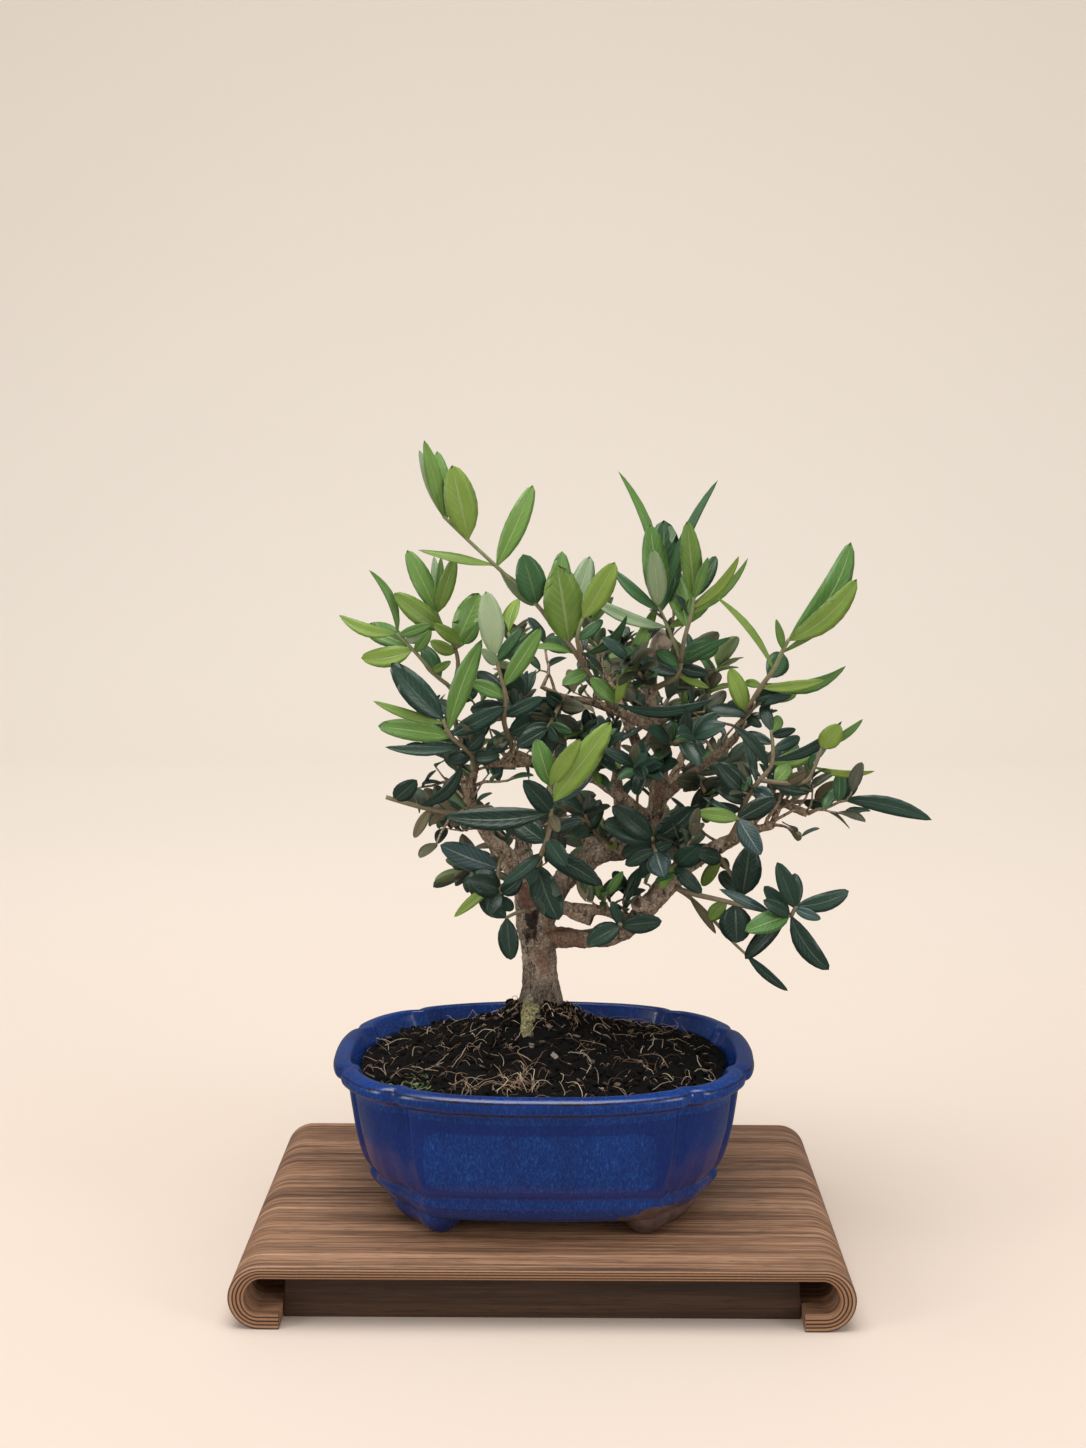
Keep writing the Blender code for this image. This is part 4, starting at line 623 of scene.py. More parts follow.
for index, place in enumerate(places):
    level = min(index // len(rim), levels - 1)
    x, y = rim[index % len(rim)]
    brownness_and_shade.append(float(pot_levels[level][2]))
    height = pot_levels[level][0]
    flat_x, flat_y = x, y
    bowed = smooth_step((height - 20) / 46)
    share = float(pot_levels[level][1])
    x, y = np.array((x, y)) * (1 - bowed) + np.array(lip[index % len(rim)]) * bowed
    if index < len(rim) * levels:
        place[0] = x * share
        place[1] = y * share
    if level < 6:
        continue
    across = math.exp(-((abs(flat_x) - long_side_groove) / groove_width) ** 2) * (abs(y) > 45 * MM)
    along = math.exp(-((abs(flat_y) - short_side_groove) / groove_width) ** 2) * (abs(x) > 80 * MM)
    lobe = math.exp(-((abs(flat_x) - lobe_crown) / lobe_width) ** 2) * (abs(y) > 30 * MM)
    deep = 2.4 if height > 66 else 1.0 + 1.8 * smooth_step((height - 6) / 24)
    groove = (across + along) * deep - lobe * 1.1
    way = math.hypot(x, y)
    place[0] -= groove * MM * x / way
    place[1] -= groove * MM * y / way
    ripple = noise.noise(Vector(place) * 45) * 0.35 + noise.noise(Vector(place) * 120) * 0.12
    place[0] += ripple * MM * x / way
    place[1] += ripple * MM * y / way
    brownness_and_shade[-1] = max(brownness_and_shade[-1], (across + along) * 0.12)
move_to(pot, places)
point_values(pot, "brown", brownness_and_shade)

# Each foot is a bracket round its corner, drawn from the skirt down to a smaller sole.
foot_levels = ((0.3, 0.715, 0.635, 0.62), (0.9, 0.733, 0.620, 0.70), (2.6, 0.752, 0.60, 0.80),
               (5.0, 0.770, 0.58, 0.88), (7.6, 0.786, 0.56, 0.98), (9.6, 0.790, 0.54, 1.10),
               (13.0, 0.780, 0.53, 1.25))
foot_turn = 0.72
foot_spread = 0.36
feet = []
for corner in (foot_turn, math.pi - foot_turn, math.pi + foot_turn, 2 * math.pi - foot_turn):
    bpy.ops.object.select_all(action="DESELECT")
    bpy.ops.mesh.primitive_circle_add(vertices=56, radius=0.01, fill_type="NGON",
                                      location=(0.0, 0.0, stand_top + foot_levels[0][0] * MM))
    foot = bpy.context.object
    bpy.ops.object.transform_apply(location=True, rotation=False, scale=True)
    bpy.ops.object.mode_set(mode="EDIT")
    bpy.ops.mesh.select_all(action="SELECT")
    for before, after in zip(foot_levels, foot_levels[1:]):
        bpy.ops.mesh.extrude_region_move(TRANSFORM_OT_translate={
            "value": (0.0, 0.0, (after[0] - before[0]) * MM)})
    bpy.ops.object.mode_set(mode="OBJECT")
    places = places_of(foot)
    worn = []
    for place in places:
        angle = math.atan2(place[1], place[0])
        level = min(foot_levels, key=lambda each: abs(stand_top + each[0] * MM - place[2]))
        height, outer, inner, reach = level
        turn = math.cos(angle)
        depth = math.sin(angle)
        x, y = pot_outline(corner + foot_spread * reach * math.copysign(abs(turn) ** 0.6, turn))
        share = (outer + inner) / 2 + (outer - inner) / 2 * math.copysign(abs(depth) ** 0.6, depth)
        place[0] = x * share
        place[1] = y * share
        worn.append(1.0 if height < 1.0 else 0.55 if height < 3.0 else 0.1)
    move_to(foot, places)
    point_values(foot, "brown", worn)
    feet.append(foot)
bpy.ops.object.select_all(action="DESELECT")
for foot in feet:
    foot.select_set(True)
pot.select_set(True)
bpy.context.view_layer.objects.active = pot
bpy.ops.object.join()
bpy.ops.object.mode_set(mode="EDIT")
bpy.ops.mesh.select_all(action="SELECT")
bpy.ops.mesh.normals_make_consistent(inside=False)
bpy.ops.object.mode_set(mode="OBJECT")
drain_radius = 6.0 * MM
drain_from_middle = 42.0 * MM
for side in (-1, 1):
    bpy.ops.object.select_all(action="DESELECT")
    bpy.ops.mesh.primitive_cylinder_add(vertices=32, radius=drain_radius, depth=30.0 * MM,
                                        location=(side * drain_from_middle, 0.0, stand_top + 12.0 * MM))
    drill = bpy.context.object
    hole = pot.modifiers.new("drain_hole", "BOOLEAN")
    hole.operation = "DIFFERENCE"
    hole.solver = "EXACT"
    hole.object = drill
    apply_all(pot)
    bpy.data.objects.remove(drill)
pot.data.shade_smooth()
pot.data.set_sharp_from_angle(angle=math.radians(55))

glaze, tree, shader = start_material("cobalt_glaze", 0.14)
brown_and_shade_value = add_node(tree, "Attribute", attribute_name="brown").outputs["Fac"]
runs = mottle(tree, place_of(tree, (1050.0, 1050.0, 400.0)), 1.0, 4.0, 0.6, 0.9)
flecks = mottle(tree, place_of(tree, (1900.0, 1900.0, 900.0)), 1.0, 2.0, 0.6)
pools = mottle(tree, place_of(tree, (30.0, 30.0, 18.0)), 1.0, 3.0, 0.5)
blue = stepped(tree, runs, ((0.32, (0.003, 0.020, 0.120)), (0.50, (0.004, 0.033, 0.190)),
                            (0.60, (0.007, 0.052, 0.245)), (0.74, (0.018, 0.105, 0.35))))
deep = stepped(tree, pools, ((0.38, 0.75), (0.62, 0.0)))
blue = blended(tree, reckoned(tree, "MULTIPLY", deep, 0.6), blue, (0.004, 0.010, 0.075))
blue = blended(tree, stepped(tree, flecks, ((0.62, 0.0), (0.76, 0.22))), blue, (0.05, 0.13, 0.36))
wear = mottle(tree, place_of(tree, (120.0, 120.0, 160.0)), 1.0, 3.0, 0.6)
# Near black where the glaze breaks on thin edges and feet, and as painted shade under the lip's overhang.
broken_glaze_and_shade = reckoned(tree, "ADD", brown_and_shade_value, reckoned(tree, "MULTIPLY_ADD", wear, 0.7, -0.35))
broken_glaze_and_shade = stepped(tree, broken_glaze_and_shade, ((0.56, 0.0), (0.86, 1.0)))
parts = add_node(tree, "SeparateXYZ")
tree.links.new(add_node(tree, "TexCoord").outputs["Object"], parts.inputs["Vector"])
# Painted reflection: the glaze round the front panel, in a band as tall as the panel, is made darker, so that
# the panel looks lighter, as though the bright floor showed in it.
panel_middle = seen(540, 1164, -70) + pot_middle
panel_half_width = 55.2 * MM
panel_half_height = 15.2 * MM
beside = reckoned(tree, "ABSOLUTE", reckoned(tree, "SUBTRACT", parts.outputs["X"], panel_middle.x))
above = reckoned(tree, "ABSOLUTE", reckoned(tree, "SUBTRACT", parts.outputs["Z"], panel_middle.z))
beside = reckoned(tree, "POWER", reckoned(tree, "DIVIDE", beside, panel_half_width), 12.0)
above = reckoned(tree, "POWER", reckoned(tree, "DIVIDE", above, panel_half_height), 5.0)
outside_painted_reflection = reckoned(tree, "ADD", beside, above)
outside_painted_reflection = stepped(tree, outside_painted_reflection, ((0.80, 0.0), (1.0, 0.65)))
outside_painted_reflection = reckoned(tree, "MULTIPLY", outside_painted_reflection,
                     reckoned(tree, "LESS_THAN", parts.outputs["Z"], panel_middle.z + 0.0205))
outside_painted_reflection = reckoned(tree, "MULTIPLY", outside_painted_reflection,
                     reckoned(tree, "GREATER_THAN", parts.outputs["Z"], panel_middle.z - 0.0185))
blue = blended(tree, outside_painted_reflection, blue, (0.004, 0.014, 0.120))
blue = blended(tree, broken_glaze_and_shade, blue, (0.016, 0.010, 0.012))
slope = reckoned(tree, "MULTIPLY_ADD", parts.outputs["X"], 0.24,
                 pot_middle.x * -0.24 + pot_middle.y * 0.42 + stand_top - 0.028)
slope = reckoned(tree, "MULTIPLY_ADD", parts.outputs["Y"], -0.42, slope)
ragged_edge = mottle(tree, place_of(tree, (70.0, 70.0, 70.0)), 1.0, 2.0)
wavy = reckoned(tree, "MULTIPLY_ADD", ragged_edge, 0.010, slope)
right_foot = reckoned(tree, "GREATER_THAN", parts.outputs["X"], pot_middle.x + 0.036)
bare = reckoned(tree, "MULTIPLY", reckoned(tree, "LESS_THAN", parts.outputs["Z"], wavy), right_foot)
clay = stepped(tree, wear, ((0.35, (0.075, 0.040, 0.036)), (0.65, (0.135, 0.078, 0.066))))
painted(tree, shader, blended(tree, bare, blue, clay),
        blended(tree, bare, stepped(tree, pools, ((0.3, 0.10), (0.7, 0.17))), (0.62, 0.62, 0.62)))
shader.inputs["IOR"].default_value = 1.52
shader.inputs["Coat Roughness"].default_value = 0.05
tree.links.new(reckoned(tree, "MULTIPLY_ADD", bare, -0.25, 0.25), shader.inputs["Coat Weight"])
embossed(tree, shader, reckoned(tree, "ADD", runs, reckoned(tree, "MULTIPLY", flecks, 0.4)), 0.00035, 0.35)
hand_over(pot, "glazed_pot", glaze, "cobalt_glaze", "pot")


# The drain meshes. Black plastic discs laid over the two drain holes keep the peat in; they
# are the solids themselves, with a matt plastic finish.
mesh_plastic, tree, shader = start_material("black_drain_plastic", 0.55)
speck = mottle(tree, place_of(tree), 900.0)
painted(tree, shader, stepped(tree, speck, ((0.3, (0.012, 0.012, 0.012)), (0.7, (0.03, 0.03, 0.03)))))
embossed(tree, shader, speck, 0.0001, 0.5)
for node in ("drain_mesh_left", "drain_mesh_right"):
    disc = frame["nodes"][node]
    if not disc.data.materials:
        disc.data.materials.append(mesh_plastic)
    for i in range(len(disc.material_slots)):
        disc.material_slots[i].material = mesh_plastic


# The soil. Dark peat heaped up round the trunk, crumbly on top. It fills the pot to a little
# under the lip.
def soil_top(x, y):
    """Height of the smooth mound of soil."""
    away = ((abs(x) / 0.105) ** 2.2 + (abs(y) / 0.0805) ** 2.2) ** (1 / 2.2)
    dome = max(0.0, 1 - (away / 0.9) ** 1.7)
    crest = math.exp(-((x + 0.004) ** 2 + (y - 0.012) ** 2) / 0.0011)
    lumps = (math.sin(x * 230 + 1.3) * math.cos(y * 260 - 0.7)
             + 0.6 * math.sin(x * 430 - y * 310 + 2.1)) * 0.0007
    edge = stand_top + pot_height - 7.5 * MM
    return edge + 23.0 * MM * (0.56 * dome + 0.44 * crest) + lumps * min(1.0, dome * 4)


foot_of_trunk = seen(541, 1000, 15)


def crumbly_top(x, y):
    """Height of the soil with its crumbs and hollows."""
    place = Vector((x, y, 0.0))
    crumbs = noise.fractal(place * 260, 0.9, 2.1, 4)
    clods = noise.noise(place * 95)
    pits = max(0.0, noise.noise(place * 210 + Vector((3.1, 7.7, 0.4))) - 0.12)
    east = x - foot_of_trunk.x
    north = y - foot_of_trunk.y
    from_trunk = math.hypot(east, north)
    bearing = math.degrees(math.atan2(north, east))
    heaped = 4.6 * math.exp(-((from_trunk - 0.011) / 0.011) ** 2) if from_trunk > 0.011 else 4.6
    heaped *= 1 - 0.9 * math.exp(-((bearing + 122) / 17) ** 2)
    return soil_top(x, y) + (crumbs * 1.5 + clods * 1.5 - pits * 5.0 + heaped) * MM


inside_lip = 0.873
edge_depth = 12.0 * MM
bpy.ops.object.select_all(action="DESELECT")
bpy.ops.mesh.primitive_grid_add(x_subdivisions=230, y_subdivisions=176, size=2.0, location=(0.0, 0.0, 0.0))
soil = bpy.context.object
places = places_of(soil)
for place in places:
    out = max(abs(place[0]), abs(place[1]))
    x, y = oval_outline(math.atan2(place[1], place[0]))
    place[0] = x * inside_lip * out
    place[1] = y * inside_lip * out
    place[2] = crumbly_top(place[0], place[1])
move_to(soil, places)
bpy.ops.object.mode_set(mode="EDIT")
bpy.ops.mesh.select_mode(type="EDGE")
bpy.ops.mesh.select_all(action="DESELECT")
bpy.ops.mesh.select_non_manifold()
bpy.ops.mesh.extrude_edges_move(TRANSFORM_OT_translate={"value": (0.0, 0.0, -edge_depth)})
bpy.ops.transform.resize(value=(0.96, 0.96, 1.0), center_override=(0.0, 0.0, 0.0))
bpy.ops.mesh.edge_face_add()
bpy.ops.mesh.select_all(action="SELECT")
bpy.ops.mesh.normals_make_consistent(inside=False)
bpy.ops.object.mode_set(mode="OBJECT")
soil.data.shade_smooth()
peat, tree, shader = start_material("dark_peat", 0.92)
grit = mottle(tree, place_of(tree), 620.0, 6.0, 0.7)
damp = mottle(tree, place_of(tree), 60.0, 3.0)
earth = stepped(tree, grit, ((0.36, (0.0008, 0.0007, 0.0006)), (0.56, (0.0030, 0.0024, 0.0021)),
                             (0.68, (0.012, 0.0085, 0.0062)), (0.80, (0.060, 0.042, 0.030))))
earth = blended(tree, reckoned(tree, "MULTIPLY", damp, 0.5), earth, (0.0020, 0.0017, 0.0015))
painted(tree, shader, earth)
shader.inputs["Specular IOR Level"].default_value = 0.25
embossed(tree, shader, grit, 0.0011, 0.9)
hand_over(soil, "peat_surface", peat, "peat", "soil")


# What lies on the soil: crumbs of peat, chips of bark, curled rootlets and fine hairs, and a
# few weeds. Each kind is modelled once and laid down many times, sunk a little in the peat.
def shape_of(thing):
    """Vertices and faces of a modelled master, which is then put away."""
    corners = places_of(thing)
    sides = [tuple(face.vertices) for face in thing.data.polygons]
    bpy.data.objects.remove(thing)
    return corners, sides


def laid_down(name, copies, smooth=True):
    """One piece made of copies; a copy is its vertices and its faces."""
    corners = []
    sides = []
    start = 0
    for vertices, faces in copies:
        corners.append(vertices)
        sides.extend(tuple(start + i for i in face) for face in faces)
        start += len(vertices)
    mesh = bpy.data.meshes.new(name)
    mesh.from_pydata(np.concatenate(corners).tolist(), [], sides)
    mesh.update()
    piece = bpy.data.objects.new(name, mesh)
    bpy.context.scene.collection.objects.link(piece)
    if smooth:
        mesh.shade_smooth()
    return piece


def thread(points, radii, sides):
    """A thin round thread through points, closed at both ends: vertices and faces."""
    points = [Vector(point) for point in points]
    corners = []
    faces = []
    level = None
    for i, point in enumerate(points):
        along = (points[min(i + 1, len(points) - 1)] - points[max(i - 1, 0)]).normalized()
        if level is None:
            level = along.cross(Vector((0.31, 0.17, 0.93))).normalized()
        level = (level - along * level.dot(along)).normalized()
        over = along.cross(level)
        for k in range(sides):
            angle = 2 * math.pi * k / sides
            corners.append(point + (level * math.cos(angle) + over * math.sin(angle)) * radii[i])
    for i in range(len(points) - 1):
        for k in range(sides):
            j = (k + 1) % sides
            faces.append((i * sides + k, i * sides + j, (i + 1) * sides + j, (i + 1) * sides + k))
    faces.append(tuple(reversed(range(sides))))
    faces.append(tuple(range((len(points) - 1) * sides, len(points) * sides)))
    return np.array(corners), faces


draw = random.Random(7)
crumb_masters = []
for i in range(3):
    bpy.ops.object.select_all(action="DESELECT")
    bpy.ops.mesh.primitive_ico_sphere_add(subdivisions=2, radius=1.0, location=(0.0, 0.0, 0.0))
    crumb = bpy.context.object
    places = places_of(crumb)
    for place in places:
        place *= 1 + 0.45 * noise.noise(Vector(place) * 1.4 + Vector((i * 9.0, 0.0, 0.0)))
    move_to(crumb, places)
    crumb_masters.append(shape_of(crumb))


def on_soil(reach):
    """A place on the soil, evenly over its surface."""
    while True:
        u = draw.uniform(-1, 1)
        v = draw.uniform(-1, 1)
        out = math.hypot(u, v)
        if out < 1:
            x, y = oval_outline(math.atan2(v, u))
            return x * out * reach, y * out * reach


def turned_at_random():
    """A turn about the upright and a small tilt, for a crumb or a chip."""
    return np.array(Matrix.Rotation(draw.uniform(0, 6.28), 3, "Z")
                    @ Matrix.Rotation(draw.uniform(-0.6, 0.6), 3, "X")
                    @ Matrix.Rotation(draw.uniform(-0.6, 0.6), 3, "Y"))


small_crumbs = 1500
heaped_crumbs = 260
copies = []
for i in range(small_crumbs):
    x, y = on_soil(0.86)
    size = draw.uniform(0.4, 1.0) ** 2 * 2.3 * MM
    corners, faces = crumb_masters[i % len(crumb_masters)]
    flat = corners * np.array((size, size * draw.uniform(0.6, 1.0), size * draw.uniform(0.4, 0.8)))
    copies.append((flat @ turned_at_random().T + (x, y, crumbly_top(x, y) + 0.1 * size), faces))
for i in range(heaped_crumbs):
    angle = draw.uniform(0, 2 * math.pi)
    reach = 0.0095 + 0.014 * draw.random() ** 1.3
    x = foot_of_trunk.x + reach * math.cos(angle)
    y = foot_of_trunk.y + reach * math.sin(angle)
    size = draw.uniform(0.5, 1.5) * MM
    corners, faces = crumb_masters[i % len(crumb_masters)]
    copies.append(((corners * size) @ turned_at_random().T + (x, y, crumbly_top(x, y) + 0.3 * size), faces))
crumbs = laid_down("peat_crumbs", copies)
hand_over(crumbs, "peat_crumbs", peat, "peat")

bpy.ops.object.select_all(action="DESELECT")
bpy.ops.mesh.primitive_cube_add(size=1.0, location=(0.0, 0.0, 0.0))
chip = bpy.context.object
chip.scale = (1.0, 0.55, 0.16)
bpy.ops.object.transform_apply(location=True, rotation=False, scale=True)
bpy.ops.object.mode_set(mode="EDIT")
bpy.ops.mesh.select_all(action="SELECT")
bpy.ops.mesh.subdivide(number_cuts=1, smoothness=0.3)
bpy.ops.object.mode_set(mode="OBJECT")
places = places_of(chip)
for place in places:
    place *= 1 + 0.35 * noise.noise(Vector(place) * 2.3 + Vector((4.0, 1.0, 2.0)))
move_to(chip, places)
chip_shape = shape_of(chip)
chip_bark, tree, shader = start_material("chip_bark", 0.85)
tone = add_node(tree, "NewGeometry").outputs["Random Per Island"]
chip_colour = stepped(tree, tone, ((0.0, (0.045, 0.030, 0.024)), (0.35, (0.095, 0.062, 0.048)),
                                   (0.7, (0.20, 0.135, 0.105)), (1.0, (0.27, 0.235, 0.20))))
fibre = mottle(tree, place_of(tree, (900.0, 900.0, 900.0)), 1.0, 3.0)
fibre_shade = stepped(tree, fibre, ((0.3, 0.2), (0.7, 1.0)))
painted(tree, shader, blended(tree, 0.6, chip_colour, fibre_shade, "MULTIPLY"))
embossed(tree, shader, fibre, 0.0004, 0.7)
chip_count = 64
copies = []
chip_spots = [(-0.0715, -0.046, 5.2), (-0.052, -0.030, 3.4), (0.030, -0.050, 3.6), (0.058, -0.026, 3.2),
              (0.044, 0.014, 3.0), (-0.035, -0.054, 3.0)]
for i in range(chip_count):
    x, y = on_soil(0.84)
    size = draw.uniform(1.4, 3.4)
    if i < len(chip_spots):
        x, y, size = chip_spots[i]
    corners, faces = chip_shape
    laid = (corners * size * MM * 1.4) @ turned_at_random().T
    copies.append((laid + (x, y, crumbly_top(x, y) + 0.35 * MM), faces))
chips = laid_down("bark_chips", copies, smooth=False)
hand_over(chips, "bark_chips", chip_bark, "peat")

rootlet_skin, tree, shader = start_material("rootlet_skin", 0.7)
tone = add_node(tree, "NewGeometry").outputs["Random Per Island"]
rootlet_colour = stepped(tree, tone, ((0.0, (0.065, 0.038, 0.024)), (0.40, (0.22, 0.125, 0.068)),
                                      (0.75, (0.52, 0.37, 0.24)), (1.0, (0.86, 0.73, 0.56))))
skin = mottle(tree, place_of(tree), 700.0, 3.0)
skin_shade = stepped(tree, skin, ((0.3, 0.45), (0.7, 1.0)))
painted(tree, shader, blended(tree, 0.5, rootlet_colour, skin_shade, "MULTIPLY"))
embossed(tree, shader, skin, 0.0002, 0.5)


def rootlet(x, y, length, thickness, curl, lift, ends_up=0.0):
    """A thread that wanders over the soil from a place."""
    heading = draw.uniform(0, 2 * math.pi)
    points = []
    count = 9
    bend = draw.uniform(-curl, curl)
    for i in range(count):
        rise = math.sin(math.pi * i / (count - 1)) * lift + ends_up * (i / (count - 1)) ** 1.5
        points.append((x, y, max(crumbly_top(x, y), soil_top(x, y)) - 0.1 * MM + rise))
        heading += bend + draw.uniform(-0.35, 0.35)
        x += math.cos(heading) * length / count
        y += math.sin(heading) * length / count
        out = ((abs(x) / 0.091) ** 2.4 + (abs(y) / 0.070) ** 2.4) ** (1 / 2.4)
        if out > 1:
            x /= out
            y /= out
    radii = [thickness * (1 - 0.6 * i / (count - 1)) for i in range(count)]
    return thread(points, radii, 4)


long_rootlets = 240
rootlet_bits = 260
front_rootlets = 60
trunk_rootlets = 90
standing_hairs = 46
copies = []
for i in range(long_rootlets):
    x, y = on_soil(0.84)
    copies.append(rootlet(x, y, draw.uniform(6, 22) * MM, draw.uniform(0.08, 0.20) * MM, 0.28,
                          draw.uniform(0.3, 3.2) * MM))
for i in range(rootlet_bits):
    x, y = on_soil(0.84)
    copies.append(rootlet(x, y, draw.uniform(1.5, 4.5) * MM, draw.uniform(0.08, 0.22) * MM, 0.2,
                          draw.uniform(0.1, 1.2) * MM))
for i in range(front_rootlets):
    copies.append(rootlet(draw.gauss(-0.008, 0.015), draw.gauss(-0.052, 0.007), draw.uniform(7, 20) * MM,
                          draw.uniform(0.12, 0.24) * MM, 0.45, draw.uniform(0.5, 3.4) * MM))
for i in range(trunk_rootlets):
    angle = draw.uniform(0, 2 * math.pi)
    reach = draw.uniform(0.012, 0.022)
    x = foot_of_trunk.x + math.cos(angle) * reach
    y = foot_of_trunk.y + math.sin(angle) * reach
    copies.append(rootlet(x, y, draw.uniform(6, 16) * MM, draw.uniform(0.12, 0.26) * MM, 0.5,
                          draw.uniform(0.8, 3.2) * MM))
for i in range(standing_hairs):
    x, y = on_soil(0.80)
    copies.append(rootlet(x, abs(y) if i % 3 else y, draw.uniform(5, 11) * MM, 0.11 * MM, 0.4, 0.6 * MM,
                          draw.uniform(2, 7) * MM))
rootlets = laid_down("rootlets", copies)
hand_over(rootlets, "rootlets", rootlet_skin, "peat")

weed_green, tree, shader = start_material("weed_green", 0.5)
tone = add_node(tree, "NewGeometry").outputs["Random Per Island"]
weed_tone = stepped(tree, tone, ((0.0, (0.035, 0.075, 0.020)), (0.6, (0.10, 0.18, 0.05)),
                                 (1.0, (0.32, 0.40, 0.17))))
vein = mottle(tree, place_of(tree), 500.0)
vein_shade = stepped(tree, vein, ((0.3, 0.5), (0.7, 1.0)))
painted(tree, shader, blended(tree, 0.4, weed_tone, vein_shade, "MULTIPLY"))
embossed(tree, shader, vein, 0.0002, 0.5)
weed_count = 34
copies = []
for i in range(weed_count):
    x = seen(draw.uniform(386, 440), draw.uniform(1066, 1088), 0).x
    y = draw.uniform(-0.058, -0.040)
    copies.append(rootlet(x, y, draw.uniform(3, 8) * MM, draw.uniform(0.2, 0.55) * MM, 0.5,
                          0.4 * MM, draw.uniform(1, 4) * MM))
weeds = laid_down("weeds", copies)
hand_over(weeds, "weeds", weed_green, "peat")


# The trunk. Grey-brown olive wood grown in one from the surface roots through a forked trunk
# to the thin arms, with sawn stubs and one old hollow. Its skin is rough and pitted.
limb_stops = {
    "trunk": ((541, 1050, 15, 12.0), (541, 1010, 15, 12.2), (541, 991, 15, 10.4),
              (540, 975, 15, 9.3), (538, 950, 15, 9.0), (536, 930, 14, 9.6),
              (535, 914, 13, 9.2), (534, 903, 13, 7.4)),
    "left_leader": ((534, 922, 13, 7.6), (528, 900, 12, 6.6), (524, 872, 12, 5.8),
                    (523, 842, 14, 4.6), (521, 815, 16, 3.4)),
    "left_arm": ((524, 872, 12, 4.6), (505, 852, 8, 3.8), (487, 836, 4, 3.2),
                 (474, 812, 2, 2.6), (470, 790, 2, 2.2), (476, 770, 2, 1.8)),
    "thick_arm": ((540, 918, 13, 7.6), (560, 885, 16, 6.2), (588, 857, 18, 5.4),
                  (622, 850, 18, 5.2), (645, 841, 16, 5.4), (656, 815, 14, 5.0),
                  (659, 780, 12, 4.6), (661, 748, 10, 4.2), (656, 722, 8, 4.0),
                  (651, 690, 6, 3.3), (652, 662, 4, 3.6), (660, 646, 2, 5.2),
                  (667, 634, 1, 5.0)),
    "lower_arm": ((541, 938, 13, 6.6), (570, 938, 9, 5.0), (606, 937, 4, 4.9),
                  (630, 926, 0, 5.0), (648, 906, -2, 5.4), (668, 884, -4, 5.6),
                  (690, 862, -6, 4.6), (714, 849, -8, 4.0), (738, 836, -8, 3.0),
                  (748, 827, -8, 2.4)),
    "sawn_stub": ((648, 907, -2, 4.4), (636, 903, -11, 4.3)),
    "thin_arm": ((548, 907, 8, 4.4), (575, 909, 2, 3.1), (604, 911, -2, 2.5),
                 (628, 922, -2, 2.6)),
    "short_stub": ((566, 909, 2, 3.6), (582, 917, -2, 3.2), (592, 921, -4, 3.0)),
    "right_arm": ((655, 806, 14, 3.4), (672, 790, 10, 2.7), (694, 772, 6, 2.4),
                  (714, 757, 4, 2.2), (734, 740, 2, 2.0), (741, 724, 0, 1.8)),
    "top_bridge": ((657, 730, 9, 3.0), (640, 722, 6, 2.8), (616, 711, 4, 2.4),
                   (590, 702, 4, 2.0), (563, 697, 3, 1.8), (540, 686, 2, 1.4)),
    "mid_bridge": ((654, 824, 14, 3.6), (622, 797, 8, 3.1), (594, 778, 5, 3.0),
                   (562, 769, 4, 3.0), (536, 763, 2, 3.1), (514, 756, 0, 3.6)),
    "mid_bridge_end": ((530, 762, 2, 2.6), (505, 765, -2, 1.9), (486, 764, -5, 1.6)),
    "upright": ((622, 850, 18, 3.6), (620, 812, 21, 3.0), (617, 772, 21, 2.6),
                (617, 742, 17, 2.0)),
    "right_stub": ((742, 832, -8, 2.8), (759, 829, -10, 2.2), (774, 824, -11, 2.4)),
    "outer_stub": ((738, 836, -8, 2.4), (760, 815, -6, 2.2), (781, 803, -6, 2.4),
                   (794, 808, -8, 2.4), (808, 814, -9, 2.2)),
    "back_left": ((536, 910, 16, 6.0), (520, 882, 34, 5.0), (500, 850, 50, 4.0),
                  (478, 815, 60, 3.0), (462, 778, 66, 2.0)),
    "back_right": ((570, 872, 18, 5.0), (610, 848, 40, 4.2), (645, 818, 56, 3.4),
                   (672, 778, 66, 2.6), (690, 738, 70, 1.8)),
    "back_up": ((658, 792, 14, 4.2), (640, 752, 34, 3.2), (620, 705, 48, 2.4),
                (602, 668, 54, 1.6)),
    "back_middle": ((596, 856, 20, 4.4), (575, 805, 40, 3.2), (550, 752, 50, 2.4),
                    (532, 708, 56, 1.6)),
}
root_angles = (10, 75, 150, 200, 240, 318)
mossy_root = 240


def smooth_route(stops, steps):
    """Points and radii along a grown arm, in metres."""
    row = []
    for stop in stops:
        place = seen(stop[0], stop[1], stop[2])
        row.append((place.x, place.y, place.z, stop[3] * MM))
    return eased_between(row, steps)


arms = [smooth_route(stops, 6) for stops in limb_stops.values()]
for i, degrees in enumerate(root_angles):
    row = []
    for (reach, lift), size in zip(((2, 4.5), (11, 2.2), (20, 0.2), (29, -2.6), (37, -7.0)),
                                   (5.0, 4.0, 3.0, 2.3, 1.3)):
        bend = math.radians(degrees) + 0.012 * reach * math.sin(i * 2.1)
        x = foot_of_trunk.x + reach * MM * math.cos(bend)
        y = foot_of_trunk.y + reach * MM * math.sin(bend)
        sunk = -0.3 if degrees == mossy_root else 2.4
        thicker = 1.35 if degrees == mossy_root else 1.0
        row.append((x, y, soil_top(x, y) + (lift - sunk) * MM, size * thicker * MM))
    arms.append(eased_between(row, 6))
bpy.ops.object.select_all(action="DESELECT")
arm_pieces = []
for arm in arms:
    points = [place[:3] for place in arm]
    radii = [max(place[3], 0.9 * MM) for place in arm]
    corners, faces = thread(points, radii, 14)
    arm_pieces.append(laid_down("arm", [(corners, faces)]))
bpy.ops.object.select_all(action="DESELECT")
